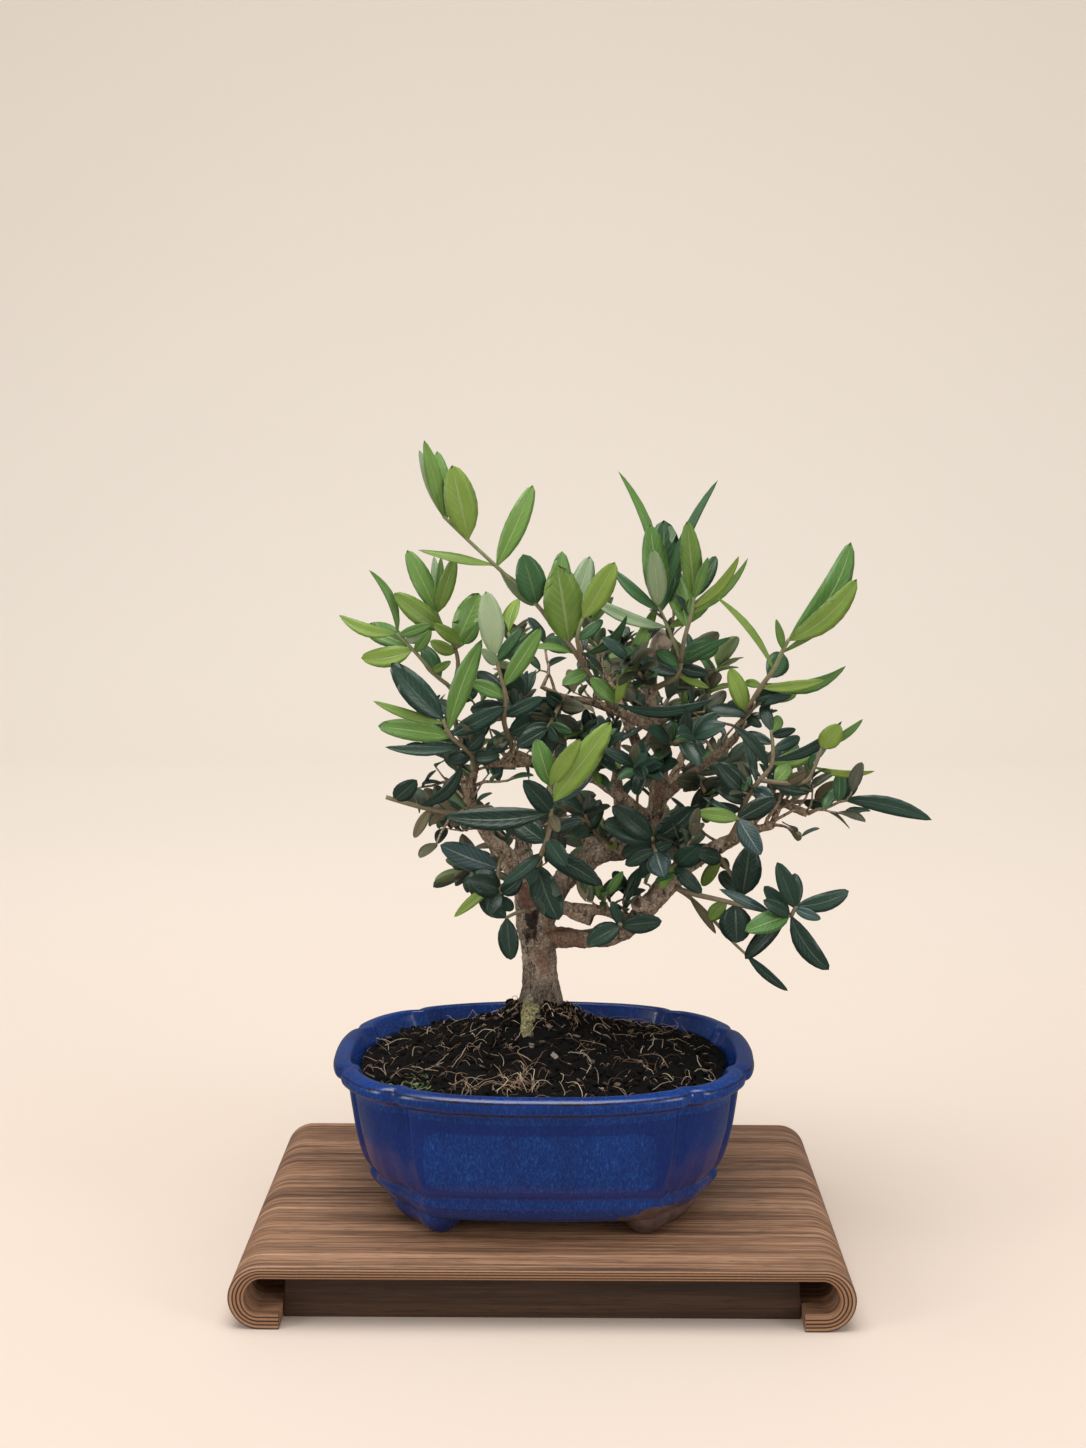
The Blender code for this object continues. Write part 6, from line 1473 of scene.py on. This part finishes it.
# The shoots. A shoot is a thin stem, tan at its foot and green at its tip, that leaves an arm
# of the tree and carries its leaves in pairs. One piece stands for each.
seen_shoots = {
    "top_left": (
        [((616, 711, 4), (600, 691, -2), (585, 668, -6), (570, 645, -9), (550, 622, -11),
          (536, 604, -12), (497, 567, -14), (469, 541, -15), (443, 516, -16)),
         ((585, 668, -6), (577, 640, -14), (583, 618, -16))],
        (1.5, 0.8),
        [(pale, 441, 515, 419, 450, 6.0, 2), (young, 443, 514, 424, 440, 7.0, 4),
         (young, 447, 519, 437, 451, 7.5, -8), (olive, 468, 540, 452, 465, 15.0, 6),
         (young, 497, 566, 533, 485, 10.0, -6), (olive, 494, 566, 418, 550, 6.0, 8, -0.10, 50),
         (pale, 500, 569, 534, 606, 5.5, -7), (old, 537, 604, 523, 554, 14.0, 6),
         (young, 556, 628, 562, 551, 11.0, -10), (pale, 565, 638, 590, 556, 12.0, -14),
         (olive, 569, 643, 557, 565, 19.5, 8), (olive, 583, 618, 615, 562, 11.5, 5),
         (old, 577, 640, 603, 620, 5.0, -6), (old, 581, 655, 627, 615, 5.0, 8, 0.12, 30),
         (young, 575, 655, 530, 648, 4.2, 8, 0.05, 40), (young, 588, 672, 562, 684, 6.5, 9),
         (old, 572, 652, 545, 641, 8.0, -12)]),
    "bridge_young": (
        [((616, 711, 4), (617, 706, -4), (616, 701, -8))], (1.1, 0.9),
        [(young, 616, 703, 590, 678, 7.5, 4), (olive, 616, 703, 621, 673, 6.0, 5, 0, 35),
         (old, 618, 704, 714, 699, 5.6, 8, 0.09, 20), (young, 617, 704, 658, 603, 7.6, 6, -0.04, 20)]),
    "top_middle": (
        [((651, 690, 6), (664, 684, 0), (677, 676, -4), (681, 662, -6), (669, 630, -8),
          (658, 606, -9)),
         ((681, 662, -6), (684, 640, -12), (692, 612, -15), (694, 596, -16))],
        (1.7, 0.8),
        [(young, 660, 610, 618, 471, 4.6, -4, 0.07, 20), (old, 661, 612, 718, 480, 4.6, -12, -0.08, 20),
         (old, 661, 612, 664, 520, 17.5, -10), (young, 659, 608, 650, 524, 12.0, 5),
         (pale, 657, 606, 653, 549, 9.0, 12), (young, 688, 628, 670, 566, 11.5, -2),
         (olive, 694, 598, 687, 521, 9.6, 5), (young, 695, 600, 708, 557, 4.4, 8),
         (old, 694, 598, 716, 556, 7.0, -8), (olive, 692, 608, 739, 556, 5.2, 4, 0.05, 30),
         (young, 691, 614, 748, 558, 4.6, -2, 0.05, 40), (olive, 668, 628, 716, 584, 6.8, 9, 0.08),
         (old, 660, 612, 613, 569, 5.2, -7, -0.05), (pale, 667, 628, 588, 596, 6.0, 5, -0.10, 20),
         (old, 682, 652, 719, 645, 10.5, -10), (old, 681, 664, 731, 637, 4.0, 6, -0.04, 20),
         (old, 678, 674, 633, 655, 6.8, 6, -0.05), (old, 680, 666, 656, 651, 6.5, -12),
         (old, 680, 668, 709, 674, 6.2, 7), (olive, 678, 674, 709, 688, 3.6, 3)]),
    "right_top": (
        [((741, 724, 0), (752, 702, -6), (763, 684, -10), (774, 669, -13), (783, 650, -15),
          (789, 639, -16))],
        (1.5, 0.9),
        [(young, 789, 640, 851, 542, 12.6, -3, 0.09), (olive, 789, 641, 857, 579, 11.0, 8, 0.08),
         (young, 784, 650, 776, 619, 3.4, 4), (olive, 782, 653, 834, 621, 3.0, 2, -0.04, 30),
         (olive, 774, 670, 715, 596, 3.4, 3, 0.04, 30), (old, 768, 678, 784, 654, 11.0, -12),
         (young, 764, 684, 846, 666, 6.4, -6, 0.12, 20), (olive, 762, 688, 825, 680, 5.0, 10, 0.03),
         (old, 758, 693, 789, 687, 6.4, 3), (olive, 746, 713, 730, 668, 8.6, 5),
         (young, 757, 695, 797, 694, 7.2, -12), (old, 752, 703, 792, 695, 4.6, 7),
         (olive, 762, 686, 745, 682, 3.6, -6), (old, 747, 712, 727, 703, 6.0, -9),
         (old, 746, 715, 762, 727, 4.4, 7)]),
    "right_middle": (
        [((738, 836, -8), (741, 812, -14), (750, 793, -17), (760, 780, -18), (771, 766, -18),
          (773, 748, -17), (771, 730, -15)),
         ((760, 780, -18), (784, 783, -22), (806, 781, -23), (815, 766, -24), (822, 747, -25))],
        (1.7, 0.8),
        [(old, 768, 769, 733, 726, 5.6, 9, 0.05, 20), (old, 757, 784, 742, 728, 4.4, -8, 0, 20),
         (old, 748, 797, 717, 763, 10.5, 5), (old, 745, 803, 716, 789, 5.4, 10),
         (pale, 753, 789, 774, 800, 7.6, 5), (old, 768, 782, 811, 791, 7.0, -6),
         (young, 775, 782, 790, 765, 8.0, -9), (dry, 788, 783, 806, 772, 5.4, 8),
         (olive, 772, 763, 815, 748, 8.2, -6, 0.06), (old, 773, 760, 842, 721, 5.2, 5, 0.10, 20),
         (old, 773, 750, 800, 737, 5.4, -10), (olive, 814, 767, 875, 771, 3.4, 0, 0.05, 30),
         (olive, 821, 748, 840, 724, 9.8, 3), (young, 822, 747, 863, 719, 3.6, 8, 0.03, 20),
         (old, 771, 736, 796, 729, 4.2, 6), (old, 772, 744, 745, 733, 4.8, -8),
         (young, 771, 734, 780, 716, 5.4, -8), (old, 771, 731, 762, 705, 5.6, -10)]),
    "far_right": (
        [((781, 803, -6), (798, 802, -1), (812, 801, 1), (830, 800, 2), (841, 799, 2))], (1.3, 0.8),
        [(old, 841, 799, 932, 820, 8.0, 3, -0.06), (old, 838, 799, 857, 773, 8.8, 4),
         (dry, 815, 801, 838, 781, 7.4, 2), (old, 803, 802, 829, 808, 4.2, 9)]),
    "arm_end": (
        [((726, 843, -8), (734, 829, -18), (739, 818, -24))], (1.2, 0.9),
        [(pale, 740, 819, 761, 855, 9.6, 8), (old, 740, 819, 776, 798, 9.0, -2),
         (olive, 740, 819, 696, 813, 6.8, 4), (old, 741, 820, 703, 797, 3.0, -5, 0, 20)]),
    "under_arm": (
        [((714, 849, -8), (727, 868, -12), (737, 884, -14), (742, 896, -15))], (1.2, 0.8),
        [(old, 742, 896, 750, 845, 14.0, 5), (old, 741, 895, 720, 872, 8.0, -4),
         (dry, 728, 871, 720, 858, 4.4, -6), (olive, 721, 858, 702, 886, 6.0, -6),
         (old, 722, 860, 695, 852, 8.0, 12)]),
    "right_lower": (
        [((668, 884, -4), (690, 893, -14), (720, 900, -19), (748, 907, -22), (770, 912, -24),
          (791, 916, -25)),
         ((791, 916, -25), (796, 906, -26))],
        (1.5, 0.9),
        [(old, 796, 906, 849, 891, 8.6, -4, 0.06), (old, 792, 917, 829, 970, 9.6, 5, 0.06),
         (pale, 795, 909, 821, 919, 4.6, 4), (old, 795, 908, 777, 862, 8.6, 6),
         (old, 795, 908, 795, 873, 6.6, -8), (old, 790, 915, 763, 900, 7.0, 8),
         (old, 789, 915, 764, 886, 7.0, -6), (young, 789, 917, 745, 931, 10.0, 7),
         (old, 786, 916, 745, 959, 8.0, -5), (old, 735, 904, 737, 943, 15.6, 3),
         (olive, 727, 902, 709, 919, 7.0, -7), (pale, 770, 912, 719, 889, 4.8, 9, -0.03, 20)]),
    "right_droop": (
        [((668, 884, -4), (684, 893, 2), (701, 907, 4), (718, 925, 4), (733, 942, 3),
          (748, 956, 2))],
        (1.2, 0.7),
        [(old, 747, 955, 788, 991, 4.8, 2, 0, 20), (dry, 690, 898, 716, 934, 3.8, 4, -0.06, 20)]),
    "elbow_bud": (
        [((622, 931, 1), (621, 926, -7), (620, 924, -11))], (1.3, 1.1),
        [(old, 620, 925, 587, 944, 10.2, 3), (old, 621, 925, 662, 921, 9.0, 3),
         (old, 620, 925, 612, 901, 5.0, 2)]),
    "elbow_green": (
        [((604, 911, -2), (604, 903, -8), (606, 895, -10))], (0.9, 0.7),
        [(young, 606, 895, 623, 871, 4.2, 2), (olive, 605, 900, 592, 880, 4.6, -3)]),
    "middle_front": (
        [((645, 841, 16), (650, 846, 6), (653, 842, -4), (653, 838, -10)),
         ((653, 842, -4), (656, 852, -14))],
        (1.5, 1.0),
        [(old, 652, 840, 603, 822, 12.6, 4), (old, 653, 839, 612, 806, 11.0, -4),
         (old, 653, 842, 622, 856, 8.8, -5), (old, 655, 850, 625, 865, 7.0, 3),
         (pale, 656, 852, 664, 877, 11.8, 4), (old, 653, 839, 694, 807, 12.6, 4, 0.05),
         (old, 654, 840, 690, 834, 8.6, -6), (old, 655, 850, 672, 842, 6.0, 3),
         (old, 656, 852, 640, 878, 6.0, -6)]),
    "middle_speckled": (
        [((690, 862, -6), (680, 862, -12), (674, 866, -15))], (1.1, 0.9),
        [(old, 675, 866, 702, 893, 7.0, 2), (old, 676, 865, 706, 850, 8.0, 3),
         (old, 677, 864, 698, 846, 10.0, -3), (olive, 674, 866, 660, 889, 5.0, -3)]),
    "centre_front": (
        [((528, 900, 12), (532, 884, -2), (537, 866, -20), (543, 850, -26), (548, 836, -30),
          (551, 815, -33), (550, 786, -35))],
        (1.7, 1.0),
        [(young, 549, 786, 536, 739, 9.8, 3), (olive, 550, 786, 580, 739, 8.6, 6, -0.05, 25),
         (olive, 551, 803, 611, 722, 13.0, 4), (old, 550, 812, 523, 780, 10.0, 5),
         (old, 538, 864, 559, 920, 14.4, 4, 0.04), (old, 542, 853, 601, 885, 9.8, 3, -0.05),
         (old, 542, 853, 503, 884, 6.2, 6, -0.04), (old, 551, 812, 444, 816, 10.8, 5, -0.06),
         (old, 549, 832, 583, 820, 5.4, -5, -0.05), (old, 546, 843, 510, 816, 12.4, -8),
         (old, 537, 866, 529, 885, 5.4, 2), (dry, 551, 815, 559, 832, 5.2, -3),
         (pale, 551, 803, 594, 769, 7.6, -7), (old, 548, 838, 566, 866, 8.6, -8)]),
    "left_lower": (
        [((505, 852, 8), (500, 862, -2), (498, 872, -8), (499, 884, -11), (502, 896, -12))],
        (1.3, 0.8),
        [(pale, 498, 868, 440, 845, 12.0, 5, -0.03), (old, 498, 872, 463, 882, 6.0, 8),
         (old, 500, 890, 466, 878, 13.0, 3), (old, 500, 892, 490, 914, 8.4, 3),
         (olive, 499, 880, 454, 917, 4.8, -6), (old, 501, 894, 522, 878, 8.0, 5),
         (old, 502, 896, 512, 911, 5.4, -3)]),
    "trunk_twig": (
        [((534, 914, 13), (524, 911, -2), (514, 914, -6), (506, 918, -8))], (1.2, 0.8),
        [(old, 507, 918, 511, 960, 9.8, 2), (old, 506, 918, 480, 896, 10.0, -5)]),
    "left_broken": (
        [((474, 812, 2), (460, 814, -4), (444, 812, -8), (425, 808, -10), (406, 803, -12),
          (386, 797, -13))],
        (1.4, 1.1),
        [(old, 394, 799, 417, 780, 8.8, 3), (old, 418, 806, 462, 763, 6.0, 3, 0.14, 20),
         (dry, 430, 810, 414, 838, 4.8, 2), (dry, 452, 813, 436, 794, 4.2, -3),
         (dry, 446, 812, 430, 824, 3.4, -3), (dry, 466, 813, 494, 807, 5.0, -5),
         (dry, 468, 813, 450, 826, 5.0, 4)]),
    "left_middle": (
        [((476, 770, 2), (472, 756, -6), (462, 746, -12), (450, 735, -16), (443, 719, -17))],
        (1.5, 1.0),
        [(old, 443, 720, 391, 663, 13.0, 5, -0.03), (young, 448, 731, 482, 639, 9.8, 5, -0.04),
         (olive, 444, 724, 373, 701, 4.6, 6, -0.06, 20), (young, 452, 737, 378, 726, 10.0, -4),
         (old, 462, 746, 385, 747, 5.2, 8, -0.08, 20), (old, 460, 745, 421, 738, 9.0, -8),
         (old, 450, 735, 505, 707, 8.4, 4), (old, 463, 747, 490, 714, 9.0, -6),
         (old, 471, 755, 447, 762, 7.0, 6), (old, 473, 758, 500, 755, 7.0, 6),
         (old, 466, 750, 484, 733, 7.6, 6)]),
    "left_pale": (
        [((514, 756, 0), (510, 740, -8), (504, 722, -12), (506, 700, -16), (503, 684, -18),
          (495, 656, -20))],
        (1.5, 0.9),
        [(pale, 494, 656, 486, 591, 11.8, 4), (young, 504, 686, 541, 628, 8.2, 5),
         (old, 497, 660, 522, 628, 5.0, -5), (old, 498, 662, 540, 626, 4.2, -12, 0, 20),
         (old, 499, 668, 523, 692, 8.8, -7), (young, 505, 697, 470, 682, 7.0, 5),
         (old, 504, 692, 476, 672, 6.4, -8), (pale, 498, 664, 481, 649, 5.0, 5),
         (old, 505, 706, 470, 710, 7.0, 7), (dry, 504, 720, 479, 708, 5.4, 3),
         (old, 505, 716, 543, 697, 6.4, 6), (old, 508, 734, 547, 712, 11.0, -4),
         (old, 509, 738, 486, 752, 8.0, 5)]),
    "left_crown": (
        [((486, 764, -5), (470, 748, 4), (459, 735, 6), (454, 712, 2), (452, 690, -2),
          (434, 674, -6), (417, 654, -9), (396, 633, -11)),
         ((452, 690, -2), (458, 668, -2), (455, 648, -3), (443, 628, -4), (436, 611, -5)),
         ((455, 648, -3), (463, 644, -6))],
        (1.6, 0.8),
        [(olive, 396, 633, 339, 615, 6.2, 5, -0.14, 20), (young, 398, 634, 369, 570, 4.0, 3, 0.10, 20),
         (young, 409, 646, 366, 627, 10.6, -6), (olive, 412, 650, 361, 658, 9.6, 5, -0.08),
         (young, 399, 635, 432, 624, 4.6, 4), (pale, 404, 641, 432, 631, 6.0, -4),
         (young, 415, 652, 431, 630, 5.0, 6), (old, 440, 680, 423, 645, 7.8, -7),
         (olive, 432, 672, 451, 661, 3.6, 5), (young, 437, 614, 407, 550, 9.6, -4),
         (pale, 436, 612, 434, 556, 4.2, -8), (young, 436, 612, 441, 557, 4.2, -3),
         (olive, 437, 613, 455, 556, 7.4, 4), (olive, 444, 630, 394, 593, 10.4, 5, -0.03),
         (young, 455, 646, 479, 593, 13.6, -8), (young, 463, 644, 478, 624, 6.0, 5),
         (olive, 462, 645, 433, 624, 6.0, 7), (olive, 457, 652, 430, 641, 6.0, 6, -0.06),
         (old, 454, 700, 478, 690, 6.6, -7), (old, 455, 715, 436, 701, 6.6, -8)]),
}
hidden_shoots = {
    "back_left_up": (((462, 778, 66), (444, 748, 74), (428, 716, 76)), 3, old, 21),
    "back_left_out": (((478, 815, 60), (454, 812, 76), (434, 806, 86)), 3, old, 21),
    "back_left_low": (((500, 850, 50), (482, 862, 68), (466, 872, 80)), 3, old, 20),
    "back_left_top": (((470, 797, 63), (480, 745, 80), (482, 696, 92)), 3, olive, 22),
    "back_middle_up": (((532, 708, 56), (518, 672, 66), (508, 632, 72)), 3, olive, 22),
    "back_middle_out": (((550, 752, 50), (536, 736, 74), (522, 718, 95)), 3, old, 22),
    "back_middle_low": (((575, 805, 40), (560, 812, 66), (548, 822, 90)), 3, old, 21),
    "back_up_tip": (((602, 668, 54), (594, 636, 62), (590, 602, 68)), 3, young, 23),
    "back_up_out": (((620, 705, 48), (614, 690, 74), (606, 668, 97)), 3, old, 22),
    "back_right_up": (((690, 738, 70), (704, 704, 76), (718, 668, 78)), 3, olive, 22),
    "back_right_out": (((672, 778, 66), (702, 770, 80), (730, 764, 92)), 3, old, 22),
    "back_right_low": (((645, 818, 56), (662, 832, 76), (680, 846, 94)), 3, old, 21),
    "back_right_top": (((681, 759, 68), (690, 712, 88), (682, 662, 100)), 3, old, 22),
    "back_right_in": (((640, 752, 34), (664, 706, 48), (690, 664, 56)), 3, old, 22),
    "back_low": (((610, 848, 40), (602, 846, 66), (592, 846, 90)), 3, old, 21),
    "inner_top": (((651, 690, 6), (640, 674, -8), (628, 660, -18)), 3, old, 17),
    "inner_right": (((656, 722, 8), (680, 716, 2), (706, 712, -6)), 3, old, 18),
    "inner_bridge": (((617, 742, 17), (600, 735, 8), (580, 730, -4)), 3, old, 17),
    "inner_left": (((563, 697, 3), (556, 712, -10), (548, 728, -18)), 3, old, 17),
    "inner_middle": (((594, 778, 5), (598, 762, -12), (606, 748, -26)), 3, old, 16),
    "front_right": (((661, 748, 10), (676, 742, -14), (694, 738, -38)), 3, old, 19),
    "front_middle": (((659, 780, 12), (646, 772, -10), (634, 766, -32)), 3, old, 18),
    "front_low": (((622, 850, 18), (594, 832, 0), (584, 812, -14)), 3, old, 17),
    "right_arm_mid": (((694, 772, 6), (704, 790, -4), (712, 806, -12)), 3, old, 17),
}


stem_sides = 7


def make_shoot(name, routes, radii, blades, slot, node):
    """Join the stems and leaves of one shoot and let it stand for its solid."""
    draw = random.Random(name)
    corners = []
    faces = []
    maps = []
    tones = []
    finishes = []
    start = 0
    for k, route in enumerate(routes):
        stops = [(*seen(*stop), 0.0) for stop in route]
        row = eased_between(stops, 3)
        base = radii[0] if k == 0 else (radii[0] + radii[1]) / 2
        count = len(row)
        sizes = [(base + (radii[1] - base) * i / (count - 1)) * MM for i in range(count)]
        stem_corners, stem_faces = thread([place[:3] for place in row], sizes, stem_sides)
        corners.append(stem_corners)
        faces.extend(tuple(start + i for i in face) for face in stem_faces)
        maps.extend([[(0.5, 0.5)] * len(face) for face in stem_faces])
        ripe = 1.0 if slot == "leaf_young" else 0.55
        tones.extend([ripe * (index // stem_sides) / (count - 1) for index in range(len(stem_corners))])
        finishes.extend([finish_place["stem"]] * len(stem_faces))
        start += len(stem_corners)
    for tone, blade in blades:
        fold = draw.uniform(0.10, 0.34)
        wave = draw.uniform(0.0, 0.10)
        phase = draw.uniform(0.0, 6.0)
        shade = draw.random()
        for across, along, sides, under in ((top_across, top_along, top_faces, False),
                                            (under_across, under_along, under_faces, True)):
            corners.append(blade.surface(across, along, under, fold, wave, phase))
            faces.extend(tuple(start + i for i in face) for face in sides)
            lift = 2.0 if under else 0.0
            spots = [((across[i] + 1) / 2, 0.002 + along[i] * 0.996 + lift) for i in range(len(across))]
            maps.extend([[spots[i] for i in face] for face in sides])
            tones.extend([shade] * len(across))
            finishes.extend([finish_place[tone]] * len(sides))
            start += len(across)
    mesh = bpy.data.meshes.new(name)
    mesh.from_pydata(np.concatenate(corners).tolist(), [], faces)
    mesh.update()
    sheet_map = mesh.uv_layers.new(name="leaf")
    flat = [value for face in maps for pair in face for value in pair]
    sheet_map.data.foreach_set("uv", flat)
    mesh.polygons.foreach_set("material_index", finishes)
    piece = bpy.data.objects.new(name, mesh)
    bpy.context.scene.collection.objects.link(piece)
    point_values(piece, "leaf_tone", tones)
    bpy.ops.object.select_all(action="DESELECT")
    piece.select_set(True)
    bpy.context.view_layer.objects.active = piece
    bpy.ops.object.mode_set(mode="EDIT")
    bpy.ops.mesh.select_all(action="SELECT")
    bpy.ops.mesh.remove_doubles(threshold=0.000004)
    bpy.ops.mesh.dissolve_degenerate(threshold=0.000002)
    bpy.ops.object.mode_set(mode="OBJECT")
    mesh.shade_smooth()
    kept = [face.material_index for face in mesh.polygons]
    mesh.transform(Matrix.Translation(pot_middle))
    for finish in finish_row:
        mesh.materials.append(finish)
    mesh.polygons.foreach_set("material_index", kept)
    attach(piece, "root")
    if node:
        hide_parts(node)


def corners_of_solid(node):
    """Search tree over the corners of a shoot's solid, which show where its leaves were set."""
    corners = [vertex.co - pot_middle for vertex in frame["nodes"][node].data.vertices]
    search = KDTree(len(corners))
    for i, corner in enumerate(corners):
        search.insert(corner, i)
    search.balance()
    return search


def built_blade(search, tries):
    """The candidate whose tip is a corner of the solid, or else the first."""
    best = min(tries, key=lambda blade: search.find(blade.tip)[2])
    return best if search.find(best.tip)[2] <= built_within else tries[0]


built_within = 0.2 * MM
high_row = 655
low_row = 760
added_leaves = 14
depth_tries = (0, 5, -5, 10, -10, 15, -15, 21, -21, 28, -28)
slots_of = {row["node"]: row["material_slot"] for row in frame["record"]["subparts"]}
for name, (routes, radii, leaves) in seen_shoots.items():
    node = "shoot_" + name
    search = corners_of_solid(node)
    blades = []
    for leaf in leaves:
        best = built_blade(search, [seen_blade(routes, leaf, shift) for shift in depth_tries])
        tone = leaf[0]
        if tone == old and leaf[4] < high_row:
            tone = green
        if tone == pale and leaf[4] > low_row:
            tone = silvery
        blades.append((tone, best))
    make_shoot("leaves_" + name, routes, radii, blades, slots_of[node], node)
for seed, (name, (stops, pairs, tone, length)) in enumerate(hidden_shoots.items()):
    node = "shoot_" + name
    search = corners_of_solid(node)
    blades = []
    extra = random.Random(100 + seed)
    for tries in hidden_blades(stops, pairs, length, seed):
        best = built_blade(search, tries)
        pick = extra.random()
        blades.append((shaded if pick < 0.3 and tone == old else tone, best))
    points = [seen(*stop) for stop in stops]
    for i in range(added_leaves):
        share = extra.uniform(0.1, 1.0) * (len(points) - 1)
        k = min(int(share), len(points) - 2)
        foot = points[k].lerp(points[k + 1], share - k)
        along = (points[k + 1] - points[k]).normalized()
        level = along.cross(Vector((0, 0, 1))).normalized()
        over = level.cross(along).normalized()
        angle = extra.uniform(0, 2 * math.pi)
        course = (level * math.cos(angle) + over * math.sin(angle) + along * extra.uniform(0.3, 0.9)
                  + Vector((0, 0, 0.15))).normalized()
        size = length * extra.uniform(0.55, 0.95) * MM
        face = (along - course * along.dot(course) + Vector((0, 0, 0.5))).normalized()
        pick = extra.random()
        shade = tone if pick < 0.45 else shaded if pick < 0.75 else green if pick < 0.9 else olive
        blades.append((shade, Blade(foot, foot + course * size, face, size * extra.uniform(0.34, 0.46))))
    make_shoot("leaves_" + name, [stops], (1.4, 0.8), blades, slots_of[node], node)


# The twigs. Fine wood fills the inside of the crown: thin, kinked, tan to brown, each grown
# out of an arm, with a few small leaves. One piece holds the wood and one the leaves.
twig_draw = random.Random(23)


def loose_course(lowest, highest):
    """A way in any direction round, and between two heights."""
    return Vector((twig_draw.uniform(-1, 1), twig_draw.uniform(-1, 1), twig_draw.uniform(lowest, highest)))


twig_count = 110
twig_steps = 6
leaf_joints = (6, 6, 5, 4, 3)
copies = []
bare_limbs = ("trunk", "sawn_stub", "short_stub")
bearing_arms = [arm for name, arm in zip(limb_stops, arms) if name not in bare_limbs]
blades = []
while len(copies) < twig_count:
    arm = bearing_arms[len(copies) % len(bearing_arms)]
    place = arm[int(len(arm) * twig_draw.uniform(0.35, 0.98))]
    point = Vector(place[:3])
    way = loose_course(0.1, 1.0).normalized()
    step = twig_draw.uniform(3.5, 6.5) * MM * (0.5 if point.z < 0.20 else 1.0)
    points = [point.copy()]
    for k in range(twig_steps):
        way = (way + loose_course(-0.7, 0.9) * 0.42).normalized()
        point = point + way * step
        points.append(point.copy())
    for k in leaf_joints:
        if twig_draw.random() < 0.55:
            course = (way * 0.5 + loose_course(-0.3, 0.8)).normalized()
            size = twig_draw.uniform(9, 17) * MM
            face = (Vector((0, 0, 1)) - course * course.z + Vector((0.0, -0.35, 0.0))).normalized()
            pick = twig_draw.random()
            tone = old if pick < 0.45 else shaded if pick < 0.75 else green if pick < 0.92 else dry
            blades.append((tone, Blade(points[k].copy(), points[k] + course * size, face,
                                       size * twig_draw.uniform(0.30, 0.44))))
    thick = twig_draw.uniform(0.65, 1.15) * MM
    copies.append(thread(points, [thick * (1 - 0.09 * k) for k in range(twig_steps + 1)], 6))
twigs = laid_down("bare_twigs", copies)
point_values(twigs, "girth", [0.1] * len(twigs.data.vertices))
hand_over(twigs, "bare_twigs", bark, "bark")
make_shoot("inner_leaves", [], (1.0, 1.0), blades, "leaf_old", None)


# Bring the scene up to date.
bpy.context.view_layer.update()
